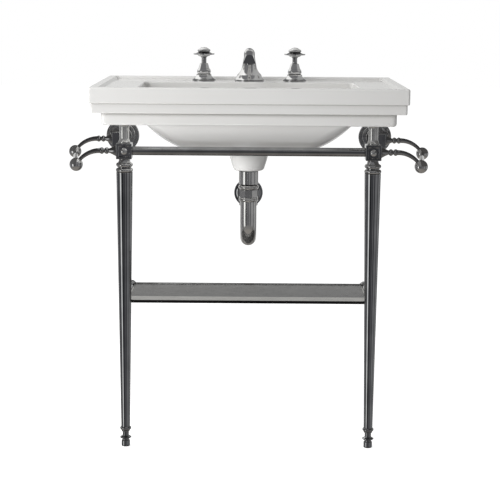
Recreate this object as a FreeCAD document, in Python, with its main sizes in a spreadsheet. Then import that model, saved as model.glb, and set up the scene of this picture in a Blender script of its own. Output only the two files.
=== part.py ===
"""Rectangular ceramic console basin on a chrome washstand with two turned front legs.

Millimetres. The floor is Z = 0, the wall is the plane at +Y, the user stands at -Y and
+X is the user's right. The origin is on the floor under the middle of the whole object.
Every size is a cell of the sheet, and every outline and place is bound to those cells.
"""
import FreeCAD
import Part
import Sketcher
import math
import os
import re
from FreeCAD import Placement, Rotation, Vector

# Sizes called "back" are distances from the wall to a piece's axis or edge.
SIZES = {
    # Basin, glazed ceramic
    "basin_width": 730.0,
    "basin_depth": 500.0,
    "rim_height": 874.0,
    "upper_fascia": 36.5,
    "middle_fascia": 22.5,
    "lower_fascia": 29.0,
    "middle_inset": 5.0,
    "lower_inset": 26.0,
    "upper_corner": 5.0,
    "lower_corner": 12.0,
    "fascia_edge": 3.0,
    "underside_edge": 7.0,
    "rim_width": 20.0,
    "rim_slope": 6.0,
    "deck_drop": 6.0,
    "deck_thickness": 15.0,
    "skirt_wall": 15.0,
    # Bowl inside the basin, from its mouth at the deck down to its floor
    "mouth_side": 104.0,
    "mouth_back": 153.0,
    "mouth_fore": 53.0,
    "mouth_corner": 16.0,
    "mouth_edge": 3.0,
    "shoulder_side": 134.0,
    "shoulder_back": 163.0,
    "shoulder_fore": 68.0,
    "shoulder_drop": 68.0,
    "haunch_side": 153.0,
    "haunch_back": 176.0,
    "haunch_fore": 92.0,
    "haunch_drop": 93.0,
    "heel_half": 165.0,
    "heel_rear": 70.0,
    "heel_fore": 48.0,
    "heel_drop": 133.0,
    "floor_half": 128.0,
    "floor_rear": 36.0,
    "floor_fore": 36.0,
    "bowl_depth": 144.0,
    "bowl_corner": 34.0,
    "bowl_wall": 14.0,
    "bowl_wall_lag": 10.0,
    # Ceramic round the outlet
    "waste_set_back": 208.0,
    "outlet_drop": 210.5,
    "outlet_boss_top": 48.5,
    "outlet_boss_foot": 39.0,
    "outlet_boss_edge": 9.0,
    "outlet_boss_swell": 1.0,
    "outlet_boss_embed": 1.0,
    "outlet_hole": 20.0,
    "outlet_recess": 33.0,
    "outlet_recess_depth": 3.0,
    # Lands under the basin that sit on the legs, and the holes of the wall fixings
    "land_half": 30.0,
    "land_inward": 57.0,
    "land_outward": 39.0,
    "land_hole": 5.0,
    "land_hole_depth": 40.0,
    "wall_hole_spacing": 280.0,
    "wall_hole_drop": 44.0,
    "wall_hole": 7.0,
    # Corner blocks and the front bar
    "leg_inset": 72.0,
    "leg_set_back": 118.0,
    "block": 37.0,
    "block_drop": 156.0,
    "block_edge": 1.5,
    "block_panel": 27.0,
    "block_panel_bevel": 2.0,
    "block_panel_depth": 1.5,
    "button": 8.0,
    "button_proud": 4.0,
    "bar_radius": 10.5,
    "bar_wall": 1.5,
    "bar_socket": 8.0,
    "socket_clearance": 0.1,
    # Support between block and basin
    "support_end": 14.0,
    "support_lip": 3.0,
    "support_waist": 11.5,
    "support_flare": 12.0,
    "support_hollow": 1.0,
    "pad_thickness": 2.0,
    # Turned collar at the top of the leg
    "collar_neck": 13.0,
    "collar_neck_length": 1.5,
    "collar_base": 15.5,
    "collar_lip": 1.0,
    "collar_lower_ring": 20.5,
    "collar_upper_ring": 20.0,
    "collar_ring": 10.0,
    "collar_gap": 2.5,
    "collar_shoulder": 8.0,
    "collar_hollow": 0.6,
    # Tapered leg
    "leg_top": 19.5,
    "leg_foot": 10.8,
    "leg_wall": 2.0,
    # Ferrule and levelling foot
    "ferrule_foot": 37.0,
    "ferrule_small_ring": 10.5,
    "ferrule_small_height": 4.0,
    "ferrule_ring": 13.7,
    "ferrule_ring_height": 8.0,
    "ferrule_base": 9.3,
    "ferrule_step": 1.0,
    "foot_clearance": 0.2,
    "foot_stem": 7.75,
    "foot_stem_top": 76.0,
    "foot_pad": 10.5,
    "foot_pad_height": 15.0,
    "foot_pad_round": 2.0,
    "foot_waist": 8.2,
    "foot_waist_height": 3.0,
    "foot_ring": 14.0,
    "foot_ring_land": 1.4,
    "foot_ring_slope": 3.6,
    # Side arms with their balls, front and rear
    "arm_base": 13.5,
    "arm_base_lip": 1.5,
    "arm_neck": 5.0,
    "arm_root_hollow": 0.6,
    "arm_cone": 18.5,
    "arm_bead": 8.0,
    "arm_bead_length": 9.5,
    "arm_bead_gap": 2.0,
    "arm_root": 6.2,
    "arm_root_overlap": 0.5,
    "arm_tip": 3.8,
    "arm_bend": 64.0,
    "arm_turn": 61.0,
    "ball": 16.0,
    "towel_rod": 6.0,
    # Rear blocks, their posts and the rosettes on the wall
    "rear_offset": 37.0,
    "rear_back": 94.0,
    "post": 9.0,
    "post_end": 13.0,
    "post_lip": 3.0,
    "post_bead": 13.0,
    "post_bead_length": 10.0,
    "rosette": 43.0,
    "rosette_step": 9.5,
    "rosette_height": 5.0,
    "rosette_rise": 3.7,
    "rosette_round": 2.0,
    "stud_hole": 3.4,
    "stud_depth": 12.0,
    # Lower shelf
    "shelf_height": 360.0,
    "shelf_thickness": 7.0,
    "shelf_back": 182.0,
    "shelf_rod": 6.0,
    "shelf_knob": 12.0,
    "shelf_front_band": 44.0,
    "shelf_side_band": 3.0,
    "shelf_rear_band": 7.0,
    "panel_thickness": 5.0,
    "panel_ledge": 5.0,
    "panel_clearance": 0.3,
    "notch_clearance": 0.4,
    # Waste with its lifting plug
    "waste_flange": 31.5,
    "waste_flange_thickness": 3.0,
    "waste_tail": 18.0,
    "waste_bore": 15.5,
    "waste_seat": 22.0,
    "waste_tail_length": 63.5,
    "spider_rise": 34.5,
    "spider_thickness": 5.0,
    "spider_arm": 3.0,
    "spider_hub": 6.5,
    "spider_bite": 1.0,
    "stem": 3.95,
    "stem_clearance": 0.05,
    "stem_clip": 5.5,
    "stem_clip_length": 2.5,
    "stem_drop": 14.0,
    "plug_rim": 28.0,
    "plug_rim_height": 2.0,
    "plug_crown": 3.0,
    "plug_gap": 0.3,
    "seal_thickness": 2.0,
    "seal": 23.0,
    "sleeve": 23.7,
    "sleeve_length": 31.5,
    "sleeve_clearance": 0.1,
    # Trap
    "trap_nut_gap": 2.0,
    "trap_nut_length": 40.5,
    "trap_nut_upper_ring": 24.5,
    "trap_nut_upper_height": 11.0,
    "trap_nut_lower_ring": 23.5,
    "trap_nut_lower_height": 9.5,
    "trap_nut_core": 20.8,
    "trap_nut_flats": 42.5,
    "trap_nut_flats_gap": 1.5,
    "nut_band_bite": 0.5,
    "trap_tube": 20.0,
    "trap_wall": 1.5,
    "trap_bend": 47.5,
    "trap_inlet": 49.0,
    "trap_elbow": 30.5,
    "trap_run": 16.5,
    "union_length": 26.0,
    "union_ring": 24.5,
    "union_flats": 46.0,
    "union_bead": 7.8,
    "trap_flange": 37.5,
    "trap_flange_edge": 3.0,
    "trap_flange_height": 13.0,
    "trap_flange_neck": 23.0,
    "trap_flange_hollow": 3.0,
    # Taps and spout
    "tap_spacing": 232.0,
    "tap_back": 68.0,
    "deck_hole": 14.0,
    "shank": 10.45,
    "shank_clearance": 0.15,
    "shank_length": 78.0,
    "spout_shank_length": 62.0,
    "shank_tail": 22.0,
    "shank_relief": 9.4,
    "shank_relief_length": 2.0,
    "link_drop": 45.0,
    "link_pipe": 6.0,
    "link_pipe_wall": 1.0,
    "link_boss": 8.5,
    "link_boss_reach": 22.0,
    "washer": 21.0,
    "washer_thickness": 3.0,
    "nut_flats": 36.0,
    "nut_thickness": 8.0,
    "tap_flange": 30.5,
    "tap_flange_edge": 2.0,
    "tap_flange_neck": 19.0,
    "tap_flange_height": 15.0,
    "tap_flange_hollow": 2.0,
    "tap_body": 17.5,
    "tap_body_base": 15.5,
    "tap_body_height": 13.5,
    "bonnet": 10.5,
    "bonnet_base": 14.5,
    "bonnet_height": 14.5,
    "bonnet_edge": 1.5,
    "spindle": 6.25,
    "spindle_clearance": 0.05,
    "spindle_depth": 8.0,
    "spindle_gap": 0.5,
    "spindle_rise": 15.0,
    "spindle_nose": 4.0,
    "spindle_nose_rise": 14.0,
    "handle_gap": 1.0,
    "handle_bore_clearance": 0.1,
    "handle_hub": 8.0,
    "handle_hub_length": 1.0,
    "handle_cup": 6.0,
    "handle_cup_rim": 17.0,
    "handle_cup_round": 1.6,
    "handle_disc": 27.0,
    "handle_disc_thickness": 3.0,
    "handle_disc_edge": 1.2,
    "handle_ring": 16.5,
    "handle_ring_rise": 4.0,
    "handle_ring_height": 6.5,
    "handle_ring_hollow": 1.2,
    "handle_neck": 14.0,
    "handle_scallop": 6.0,
    "handle_scallop_bite": 1.8,
    "handle_scallop_count": 8,
    "handle_scallop_start": 0.5,
    "index_recess": 2.5,
    "index_clearance": 0.1,
    "index": 13.0,
    "index_wall": 2.5,
    "index_crown": 5.5,
    "spout_flange": 38.0,
    "spout_flange_edge": 2.5,
    "spout_flange_neck": 31.0,
    "spout_flange_height": 14.0,
    "spout_flange_hollow": 0.8,
    "spout_waist": 18.0,
    "spout_waist_height": 38.0,
    "spout_waist_hollow": 2.6,
    "spout_dome": 14.0,
    "spout_dome_height": 60.0,
    "spout_height": 82.0,
    "nose_root_half": 11.0,
    "nose_root_foot": 40.0,
    "nose_root_top": 76.0,
    "nose_middle_back": 118.0,
    "nose_middle_half": 12.5,
    "nose_middle_foot": 46.0,
    "nose_middle_top": 77.0,
    "nose_near_back": 156.0,
    "nose_near_half": 15.0,
    "nose_near_foot": 48.0,
    "nose_near_top": 74.0,
    "nose_tip_back": 187.0,
    "nose_tip_half": 16.0,
    "nose_tip_foot": 48.0,
    "nose_tip_top": 67.0,
    "nose_ridge_half": 8.5,
    "nose_crown": 2.5,
    "mouthpiece_back": 173.0,
    "mouthpiece": 12.5,
    "mouthpiece_foot": 47.5,
    "mouthpiece_top": 55.0,
    "aerator": 11.5,
    "aerator_neck": 9.5,
    "aerator_clearance": 0.1,
    "aerator_bore": 8.0,
    "aerator_length": 6.0,
    "aerator_grip": 3.0,
}

SIDES = {"left": -1, "right": 1}

# Places that follow from the sizes. What stands under the rim keeps its distance from it.
PLACES = {
    "mouth_half": "(basin_width / 2 - mouth_side)",
    "mouth_front": "(basin_depth - mouth_fore)",
    "shoulder_half": "(basin_width / 2 - shoulder_side)",
    "shoulder_front": "(basin_depth - shoulder_fore)",
    "haunch_half": "(basin_width / 2 - haunch_side)",
    "haunch_front": "(basin_depth - haunch_fore)",
    "waste_back": "(basin_depth - waste_set_back)",
    "heel_back": "(waste_back - heel_rear)",
    "heel_front": "(waste_back + heel_fore)",
    "floor_back": "(waste_back - floor_rear)",
    "floor_front": "(waste_back + floor_fore)",
    "outlet_height": "(rim_height - outlet_drop)",
    "wall_hole_height": "(rim_height - wall_hole_drop)",
    "leg_spacing": "(basin_width - 2 * leg_inset)",
    "leg_back": "(basin_depth - leg_set_back)",
    "land_inner": "(leg_spacing / 2 - land_inward)",
    "land_outer": "(leg_spacing / 2 + land_outward)",
    "block_height": "(rim_height - block_drop)",
    "rear_spacing": "(leg_spacing + 2 * rear_offset)",
    "waste_tail_foot": "(outlet_height - waste_tail_length)",
    "spider_height": "(outlet_height + spider_rise)",
    "stem_foot": "(spider_height - stem_drop)",
    "sleeve_foot": "(outlet_height - seal_thickness - sleeve_length)",
    "trap_nut_foot": "(sleeve_foot - trap_nut_gap - trap_nut_length)",
    "trap_bend_height": "(trap_nut_foot - trap_inlet)",
    "trap_join_back": "(waste_back - 2 * trap_bend - trap_elbow - trap_run)",
    "shank_foot": "(rim_height - deck_drop - shank_length)",
    "spout_shank_foot": "(rim_height - deck_drop - spout_shank_length)",
    "link_height": "(rim_height - deck_drop - link_drop)",
}

# Heights and places that several pieces share
WALL = "(basin_depth / 2)"
DECK = "(rim_height - deck_drop)"
DECK_UNDERSIDE = f"({DECK} - deck_thickness)"
UPPER_FOOT = "(rim_height - upper_fascia)"
MIDDLE_FOOT = f"({UPPER_FOOT} - middle_fascia)"
UNDERSIDE = f"({MIDDLE_FOOT} - lower_fascia)"
BOWL_FLOOR = f"({DECK} - bowl_depth)"
BLOCK_TOP = "(block_height + block / 2)"
BLOCK_FOOT = "(block_height - block / 2)"
COLLAR_LENGTH = "(collar_lip + 2 * collar_ring + collar_gap + collar_shoulder + collar_neck_length)"
LEG_TOP = f"({BLOCK_FOOT} - {COLLAR_LENGTH})"
FERRULE_LENGTH = "(ferrule_small_height + ferrule_ring_height)"
LEG_FOOT = f"(ferrule_foot + {FERRULE_LENGTH})"
ARM_START = "(arm_cone + 2 * arm_bead_length + arm_bead_gap)"
BALL_REACH = f"(block / 2 + {ARM_START} + arm_bend * sin(arm_turn))"
BALL_HEIGHT = "(block_height - arm_bend * (1 - cos(arm_turn)))"
ROSETTE_TIERS = 4
ROSETTE_THICKNESS = f"(rosette_height + {ROSETTE_TIERS - 1} * rosette_rise)"
SHELF_AXIS = "(shelf_height - shelf_thickness / 2)"
LEG_AT_SHELF = (f"(leg_foot + (leg_top - leg_foot) * ({SHELF_AXIS} - {LEG_FOOT})"
                f" / ({LEG_TOP} - {LEG_FOOT}))")
OUTLET_AXIS = "(trap_bend_height + trap_elbow)"
TAP_FLANGE_TOP = f"({DECK} + tap_flange_height)"
BONNET_FOOT = f"({TAP_FLANGE_TOP} + tap_body_height)"
SPINDLE_SHOULDER = f"({BONNET_FOOT} + bonnet_height + spindle_rise)"
HANDLE_FOOT = f"({SPINDLE_SHOULDER} + handle_gap)"
HANDLE_RING_TOP = "(handle_cup + handle_disc_thickness + handle_ring_rise + handle_ring_height)"

UPRIGHT = Rotation()
TO_RIGHT = Rotation(Vector(0, 1, 0), 90)
TO_LEFT = Rotation(Vector(0, 0, 1), 180).multiply(TO_RIGHT)
TO_FRONT = Rotation(Vector(1, 0, 0), 90)
TO_WALL = Rotation(Vector(1, 0, 0), -90)
OUTWARD = {"left": TO_LEFT, "right": TO_RIGHT}

QUARTER_BULGE = 1 - math.sqrt(0.5)
CLOSE = 0.01
PICK_MARGIN = 1
ARM_SHARES = (0, 1 / 3, 2 / 3, 1)
HEXAGON_COUNT = 6
OCTAGON_COUNT = 8

doc = FreeCAD.newDocument("ConsoleBasin")
sheet = doc.addObject("Spreadsheet::Sheet", "Sizes")
nodes = []


# ---------------------------------------------------------------- sheet and expressions
def fill_sheet():
    """Write each size as a plain number with its name beside it and as its alias."""
    for row, (name, size) in enumerate(SIZES.items(), start=1):
        sheet.set(f"A{row}", name)
        sheet.set(f"B{row}", str(size))
        sheet.setAlias(f"B{row}", name)
    doc.recompute()


def bound(text):
    """Spell out the places in an expression, and give each size its full name in the sheet."""
    spelled, text = "", str(text)
    while spelled != text:
        spelled, text = text, re.sub(r"[a-z_]+", lambda word: PLACES.get(word[0], word[0]), text)
    return re.sub(r"[a-z_]+", lambda word: f"Sizes.{word[0]}" if word[0] in SIZES else word[0], text)


def value(text):
    """Return the number that an expression of sizes has now."""
    return float(sheet.evalExpression(bound(text)))


def from_wall(back):
    """Return the Y of what lies this far in front of the wall."""
    return f"({WALL} - ({back}))"


# ---------------------------------------------------------------- bodies and sketches
def new_body(name, kept=True):
    """Start a piece. A kept one is written out under its own name."""
    body = doc.addObject("PartDesign::Body", name)
    body.Label = name
    if kept:
        nodes.append(body)
    return body


def put(body, x="0", y="0", z="0", turn=UPRIGHT):
    """Turn a body and bind its place to the sheet."""
    body.Placement = Placement(Vector(), turn)
    for axis, text in zip("xyz", (x, y, z)):
        body.setExpression(f"Placement.Base.{axis}", bound(text))
    return body


def new_sketch(body, plane, offset="0"):
    """Add a sketch to one of the body's origin planes, this far along the plane's normal."""
    sketch = body.newObject("Sketcher::SketchObject", f"{body.Name}_outline")
    support = next(item for item in body.Origin.OriginFeatures if item.Role == plane)
    sketch.AttachmentSupport = (support, [""])
    sketch.MapMode = "FlatFace"
    sketch.setExpression("AttachmentOffset.Base.z", bound(offset))
    return sketch


def bind_point(sketch, geometry, vertex, x, y):
    """Hold a sketch point at a place given by two expressions, either of which may be None."""
    for kind, text in (("DistanceX", x), ("DistanceY", y)):
        if text is not None:
            index = sketch.addConstraint(Sketcher.Constraint(kind, -1, 1, geometry, vertex, value(text)))
            sketch.setExpression(f"Constraints[{index}]", bound(text))


def arc_centre(start, end, bulge):
    """Return the centre of the arc that bulges to the right of its chord, as expressions."""
    (x0, y0), (x1, y1) = start, end
    chord = f"sqrt((({x1}) - ({x0}))^2 + (({y1}) - ({y0}))^2)"
    shift = f"((({bulge})^2 - {chord}^2 / 4) / (2 * ({bulge})) / {chord})"
    centre_x = f"((({x0}) + ({x1})) / 2 + {shift} * (({y1}) - ({y0})))"
    centre_y = f"((({y0}) + ({y1})) / 2 - {shift} * (({x1}) - ({x0})))"
    return centre_x, centre_y


def draw_outline(sketch, corners):
    """Draw a closed outline through corners (x, y), or (x, y, bulge) where an arc ends.

    The bulge is how far the arc stands out to the right of its chord. Every corner is
    bound to the sheet, and so is each arc's centre, along the chord's shorter direction.
    """
    count = len(corners)
    ends = [(str(corner[0]), str(corner[1])) for corner in corners]
    here = [Vector(value(x), value(y), 0) for x, y in ends]
    joints = []
    for index, corner in enumerate(corners):
        start, end = here[index - 1], here[index]
        if len(corner) == 2:
            geometry = sketch.addGeometry(Part.LineSegment(start, end))
            joints.append((geometry, 1, 2))
            continue
        centre_text = arc_centre(ends[index - 1], ends[index], corner[2])
        centre = Vector(value(centre_text[0]), value(centre_text[1]), 0)
        clockwise = value(corner[2]) < 0
        first, last = (end, start) if clockwise else (start, end)
        angles = [math.atan2(point.y - centre.y, point.x - centre.x) for point in (first, last)]
        circle = Part.Circle(centre, Vector(0, 0, 1), start.distanceToPoint(centre))
        geometry = sketch.addGeometry(Part.ArcOfCircle(circle, angles[0], angles[1]))
        joints.append((geometry, 2, 1) if clockwise else (geometry, 1, 2))
        steep = abs(end.y - start.y) > abs(end.x - start.x)
        bind_point(sketch, geometry, 3, centre_text[0] if steep else None, None if steep else centre_text[1])
    for index in range(count):
        before, after = joints[index], joints[(index + 1) % count]
        sketch.addConstraint(Sketcher.Constraint("Coincident", before[0], before[2], after[0], after[1]))
        bind_point(sketch, before[0], before[2], *ends[index])
    return sketch


def draw_circle(sketch, radius, x="0", y="0"):
    """Draw a circle whose radius and centre are bound to the sheet."""
    circle = Part.Circle(Vector(value(x), value(y), 0), Vector(0, 0, 1), value(radius))
    geometry = sketch.addGeometry(circle)
    bind_point(sketch, geometry, 3, x, y)
    index = sketch.addConstraint(Sketcher.Constraint("Radius", geometry, value(radius)))
    sketch.setExpression(f"Constraints[{index}]", bound(radius))
    return sketch


def add(body, kind, sketch, **sizes):
    """Add a feature made from a sketch, with its sizes bound to the sheet."""
    feature = body.newObject(f"PartDesign::{kind}", f"{body.Name}_{kind.lower()}")
    feature.Profile = sketch
    for name, text in sizes.items():
        feature.setExpression(name, bound(text))
    return feature


def cut(body, sketch, depth, reverse=False):
    """Pocket a sketch, and make sure that it took something away."""
    before = body.Shape.Volume
    pocket = add(body, "Pocket", sketch, Length=depth)
    pocket.Reversed = reverse
    doc.recompute()
    if body.Shape.Volume > before - CLOSE:
        raise RuntimeError(f"{body.Name}: a pocket cuts nothing")
    return pocket


def revolve(body, corners, plane="XZ_Plane"):
    """Revolve an outline of (radius, height) corners about its sketch's upright axis."""
    sketch = draw_outline(new_sketch(body, plane), corners)
    feature = add(body, "Revolution", sketch)
    feature.ReferenceAxis = (sketch, ["V_Axis"])
    feature.Angle = 360
    return feature


def loft(body, sections, plane="XY_Plane", kind="AdditiveLoft"):
    """Loft through (offset, corners) sections, each on a plane at its own offset."""
    sketches = [draw_outline(new_sketch(body, plane, offset), corners) for offset, corners in sections]
    feature = add(body, kind, sketches[0])
    feature.Sections = sketches[1:]
    return feature


def turned(name, corners, kept=True):
    """Make a turned piece from its outline."""
    body = new_body(name, kept)
    revolve(body, corners)
    return body


def group(name, pieces):
    """Keep pieces of one kind as separate solids under one name."""
    compound = doc.addObject("Part::Compound", name)
    compound.Label = name
    compound.Links = pieces
    nodes.append(compound)
    return compound


def soften(body, radius, picks):
    """Round the edges of the body's last shape that a test picks."""
    doc.recompute()
    base = body.Tip
    names = [f"Edge{index}" for index, edge in enumerate(base.Shape.Edges, start=1) if picks(edge)]
    if not names:
        raise RuntimeError(f"{body.Name}: no edge to round")
    fillet = body.newObject("PartDesign::Fillet", f"{body.Name}_fillet")
    fillet.Base = (base, names)
    fillet.setExpression("Radius", bound(radius))
    doc.recompute()
    return fillet


def level_at(height, reach_x=None, reach_y=None):
    """Return a test for edges that lie level at a height, and at least this far out or forward."""
    level = value(height)
    out = value(reach_x) if reach_x else 0
    forward = value(reach_y) if reach_y else 0

    def picks(edge):
        box = edge.BoundBox
        flat = abs(box.ZMin - level) < CLOSE and abs(box.ZMax - level) < CLOSE
        middle = box.Center
        return flat and (abs(middle.x) > out - CLOSE or middle.y < forward + CLOSE)

    return picks


# ---------------------------------------------------------------- outlines
def bead(base, peak, foot, top):
    """Return the corner that ends a bead, swelling from a base radius to its peak."""
    return (base, top, f"({peak}) - ({base})")


def quarter(x, y, radius):
    """Return the corner that ends a quarter round, bulging outwards."""
    return (x, y, f"({radius}) * {QUARTER_BULGE}")


def front_rounded(half, front, back, radius):
    """Return a rectangle with square corners at the wall and round ones at the front."""
    return [
        (f"-({half})", back),
        (f"-({half})", f"({front}) + ({radius})"),
        quarter(f"({radius}) - ({half})", front, radius),
        (f"({half}) - ({radius})", front),
        quarter(half, f"({front}) + ({radius})", radius),
        (half, back),
    ]


def all_rounded(half, front, back, radius):
    """Return a rectangle with four round corners."""
    return [
        (f"-({half})", f"({front}) + ({radius})"),
        quarter(f"({radius}) - ({half})", front, radius),
        (f"({half}) - ({radius})", front),
        quarter(half, f"({front}) + ({radius})", radius),
        (half, f"({back}) - ({radius})"),
        quarter(f"({half}) - ({radius})", back, radius),
        (f"({radius}) - ({half})", back),
        quarter(f"-({half})", f"({back}) - ({radius})", radius),
    ]


def rectangle(low_x, low_y, high_x, high_y):
    """Return a plain rectangle."""
    return [(low_x, low_y), (high_x, low_y), (high_x, high_y), (low_x, high_y)]


def regular(sides, flats):
    """Return a regular outline of this many sides, from its width across flats."""
    corner = f"(({flats}) / 2 / cos({180 / sides}))"
    turns = [360 / sides * (step + 0.5) for step in range(sides)]
    return [(f"{corner} * cos({turn})", f"{corner} * sin({turn})") for turn in turns]


def dome(radius, rise):
    """Return the bulge of a cap that stands this high over its rim and crosses its axis squarely."""
    sphere = f"((({radius})^2 + ({rise})^2) / (2 * ({rise})))"
    return f"({sphere} - sqrt({sphere}^2 - {sphere} * ({rise}) / 2))"


def ball_seat(rod):
    """Return how far along its axis a rod meets a ball, and the hollow of its end."""
    reach = f"sqrt(ball^2 - {rod}^2)"
    hollow = f"(ball - sqrt((ball^2 + ball * {reach}) / 2))"
    return reach, hollow


# ---------------------------------------------------------------- basin
def behind(back):
    """Return a basin outline's Y, which is counted from the waste's axis."""
    return f"(waste_back - ({back}))"


def bowl_sections(wall, lag):
    """Return the bowl's sections from its mouth to its floor, grown by a wall's thickness."""
    levels = [
        ("mouth", "0", "mouth_corner"),
        ("shoulder", "shoulder_drop", "mouth_corner"),
        ("haunch", "haunch_drop", "bowl_corner"),
        ("heel", "heel_drop", "bowl_corner"),
        ("floor", "bowl_depth", "bowl_corner"),
    ]
    sections = []
    for name, drop, corner in levels:
        half = f"({name}_half + {wall})"
        front = behind(f"{name}_front + {wall}")
        back = behind(f"{name}_back - {wall}")
        outline = all_rounded(half, front, back, f"({corner} + {wall})")
        sections.append((f"({DECK} - {drop} - {lag})", outline))
    return sections


def basin():
    body = new_body("basin")
    tiers = [
        (UPPER_FOOT, "upper_fascia", "0", "upper_corner"),
        (MIDDLE_FOOT, "middle_fascia", "middle_inset", "upper_corner"),
        (UNDERSIDE, "lower_fascia", "lower_inset", "lower_corner"),
    ]
    for foot, height, inset, corner in tiers:
        outline = front_rounded(f"(basin_width / 2 - {inset})", behind(f"basin_depth - {inset}"),
                                behind("0"), corner)
        add(body, "Pad", draw_outline(new_sketch(body, "XY_Plane", foot), outline), Length=height)
    for level, inset, radius in (
        ("rim_height", "0", "fascia_edge"),
        (UPPER_FOOT, "0", "fascia_edge"),
        (MIDDLE_FOOT, "middle_inset", "fascia_edge"),
        (UNDERSIDE, "lower_inset", "underside_edge"),
    ):
        reach_x = f"basin_width / 2 - {inset} - {PICK_MARGIN}"
        soften(body, radius, level_at(level, reach_x, behind(f"basin_depth - {inset} - {PICK_MARGIN}")))

    rim_inner = all_rounded("(basin_width / 2 - rim_width)", behind("basin_depth - rim_width"),
                            behind("rim_width"), "upper_corner")
    rim_foot = all_rounded("(basin_width / 2 - rim_width - rim_slope)",
                           behind("basin_depth - rim_width - rim_slope"),
                           behind("rim_width + rim_slope"), "upper_corner")
    loft(body, [("rim_height", rim_inner), (DECK, rim_foot)], kind="SubtractiveLoft")
    doc.recompute()

    hollow = front_rounded("(basin_width / 2 - lower_inset - skirt_wall)",
                           behind("basin_depth - lower_inset - skirt_wall"),
                           behind("skirt_wall"), "lower_corner")
    cut(body, draw_outline(new_sketch(body, "XY_Plane", UNDERSIDE), hollow),
        f"{DECK_UNDERSIDE} - {UNDERSIDE}", reverse=True)

    outer = bowl_sections("bowl_wall", "bowl_wall_lag")
    loft(body, outer)
    land = behind("leg_back")
    for side in SIDES.values():
        edges = sorted((f"{side} * land_inner", f"{side} * land_outer"), key=value)
        outline = rectangle(edges[0], f"{land} - land_half", edges[1], f"{land} + land_half")
        add(body, "Pad", draw_outline(new_sketch(body, "XY_Plane", UNDERSIDE), outline),
            Length=f"{DECK_UNDERSIDE} - {UNDERSIDE}")
    revolve(body, [
        ("0", "outlet_height"),
        ("(outlet_boss_foot - outlet_boss_edge)", "outlet_height"),
        quarter("outlet_boss_foot", "(outlet_height + outlet_boss_edge)", "outlet_boss_edge"),
        ("outlet_boss_top", f"({BOWL_FLOOR} - bowl_wall)", "outlet_boss_swell"),
        ("outlet_boss_top", f"({BOWL_FLOOR} - outlet_boss_embed)"),
        ("0", f"({BOWL_FLOOR} - outlet_boss_embed)"),
    ])
    loft(body, bowl_sections("0", "0"), kind="SubtractiveLoft")
    doc.recompute()
    soften(body, "mouth_edge", lambda edge: level_at(DECK)(edge)
           and abs(edge.BoundBox.Center.x) < value(f"mouth_half + {PICK_MARGIN}")
           and value(behind(f"mouth_front + {PICK_MARGIN}")) < edge.BoundBox.Center.y
           < value(behind(f"mouth_back - {PICK_MARGIN}")))

    cut(body, draw_circle(new_sketch(body, "XY_Plane", BOWL_FLOOR), "outlet_recess"), "outlet_recess_depth")
    cut(body, draw_circle(new_sketch(body, "XY_Plane", BOWL_FLOOR), "outlet_hole"),
        f"{BOWL_FLOOR} - outlet_height")
    taps = new_sketch(body, "XY_Plane", DECK)
    for step in (-1, 0, 1):
        draw_circle(taps, "deck_hole", f"({step} * tap_spacing / 2)", behind("tap_back"))
    cut(body, taps, "deck_thickness")
    lands = new_sketch(body, "XY_Plane", UNDERSIDE)
    fixings = new_sketch(body, "XZ_Plane", "(skirt_wall - waste_back)")
    for side in SIDES.values():
        draw_circle(lands, "land_hole", f"({side} * leg_spacing / 2)", land)
        draw_circle(fixings, "wall_hole", f"({side} * wall_hole_spacing / 2)", "wall_hole_height")
    cut(body, lands, "land_hole_depth", reverse=True)
    cut(body, fixings, "skirt_wall")
    put(body, y=from_wall("waste_back"))


# ---------------------------------------------------------------- washstand
def corner_block(name, x, back, socket_side=None, panel=True):
    """Make a square block, with a sunk panel in front and a socket for the bar."""
    body = new_body(name)
    square = rectangle("-(block / 2)", "-(block / 2)", "block / 2", "block / 2")
    add(body, "Pad", draw_outline(new_sketch(body, "XY_Plane", "-(block / 2)"), square), Length="block")
    soften(body, "block_edge", lambda edge: True)
    if panel:
        sections = []
        for sunk, inset in (("0", "0"), ("block_panel_depth", "block_panel_bevel")):
            half = f"(block_panel / 2 - {inset})"
            sections.append((f"(block / 2 - {sunk})", rectangle(f"-{half}", f"-{half}", half, half)))
        loft(body, sections, kind="SubtractiveLoft", plane="XZ_Plane")
    if socket_side:
        floor = f"({socket_side} * (block / 2 - bar_socket))"
        socket = draw_circle(new_sketch(body, "YZ_Plane", floor), "(bar_radius + socket_clearance)")
        cut(body, socket, "bar_socket", reverse=socket_side > 0)
    return put(body, x, from_wall(back), "block_height")


def front_bar():
    length = "(leg_spacing - block + 2 * bar_socket)"
    bar = turned("front_bar", [
        ("bar_radius - bar_wall", "0"),
        ("bar_radius", "0"),
        ("bar_radius", length),
        ("bar_radius - bar_wall", length),
    ])
    put(bar, f"-{length} / 2", from_wall("leg_back"), "block_height", TO_RIGHT)


def button(side):
    body = turned(f"block_button_{side}_piece", [
        ("0", "0"),
        ("button", "0"),
        ("button", "block_panel_depth"),
        ("0", "(block_panel_depth + button_proud)", dome("button", "button_proud")),
    ], kept=False)
    face = from_wall("leg_back + block / 2 - block_panel_depth")
    return put(body, f"{SIDES[side]} * leg_spacing / 2", face, "block_height", TO_FRONT)


def basin_support(side):
    length = f"({UNDERSIDE} - pad_thickness - {BLOCK_TOP})"
    body = turned(f"basin_support_{side}", [
        ("0", "0"),
        ("support_end", "0"),
        ("support_end", "support_lip"),
        ("support_waist", "(support_lip + support_flare)", "-support_hollow"),
        ("support_waist", f"({length} - support_lip - support_flare)"),
        ("support_end", f"({length} - support_lip)", "-support_hollow"),
        ("support_end", length),
        ("0", length),
    ])
    put(body, f"{SIDES[side]} * leg_spacing / 2", from_wall("leg_back"), BLOCK_TOP)


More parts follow.
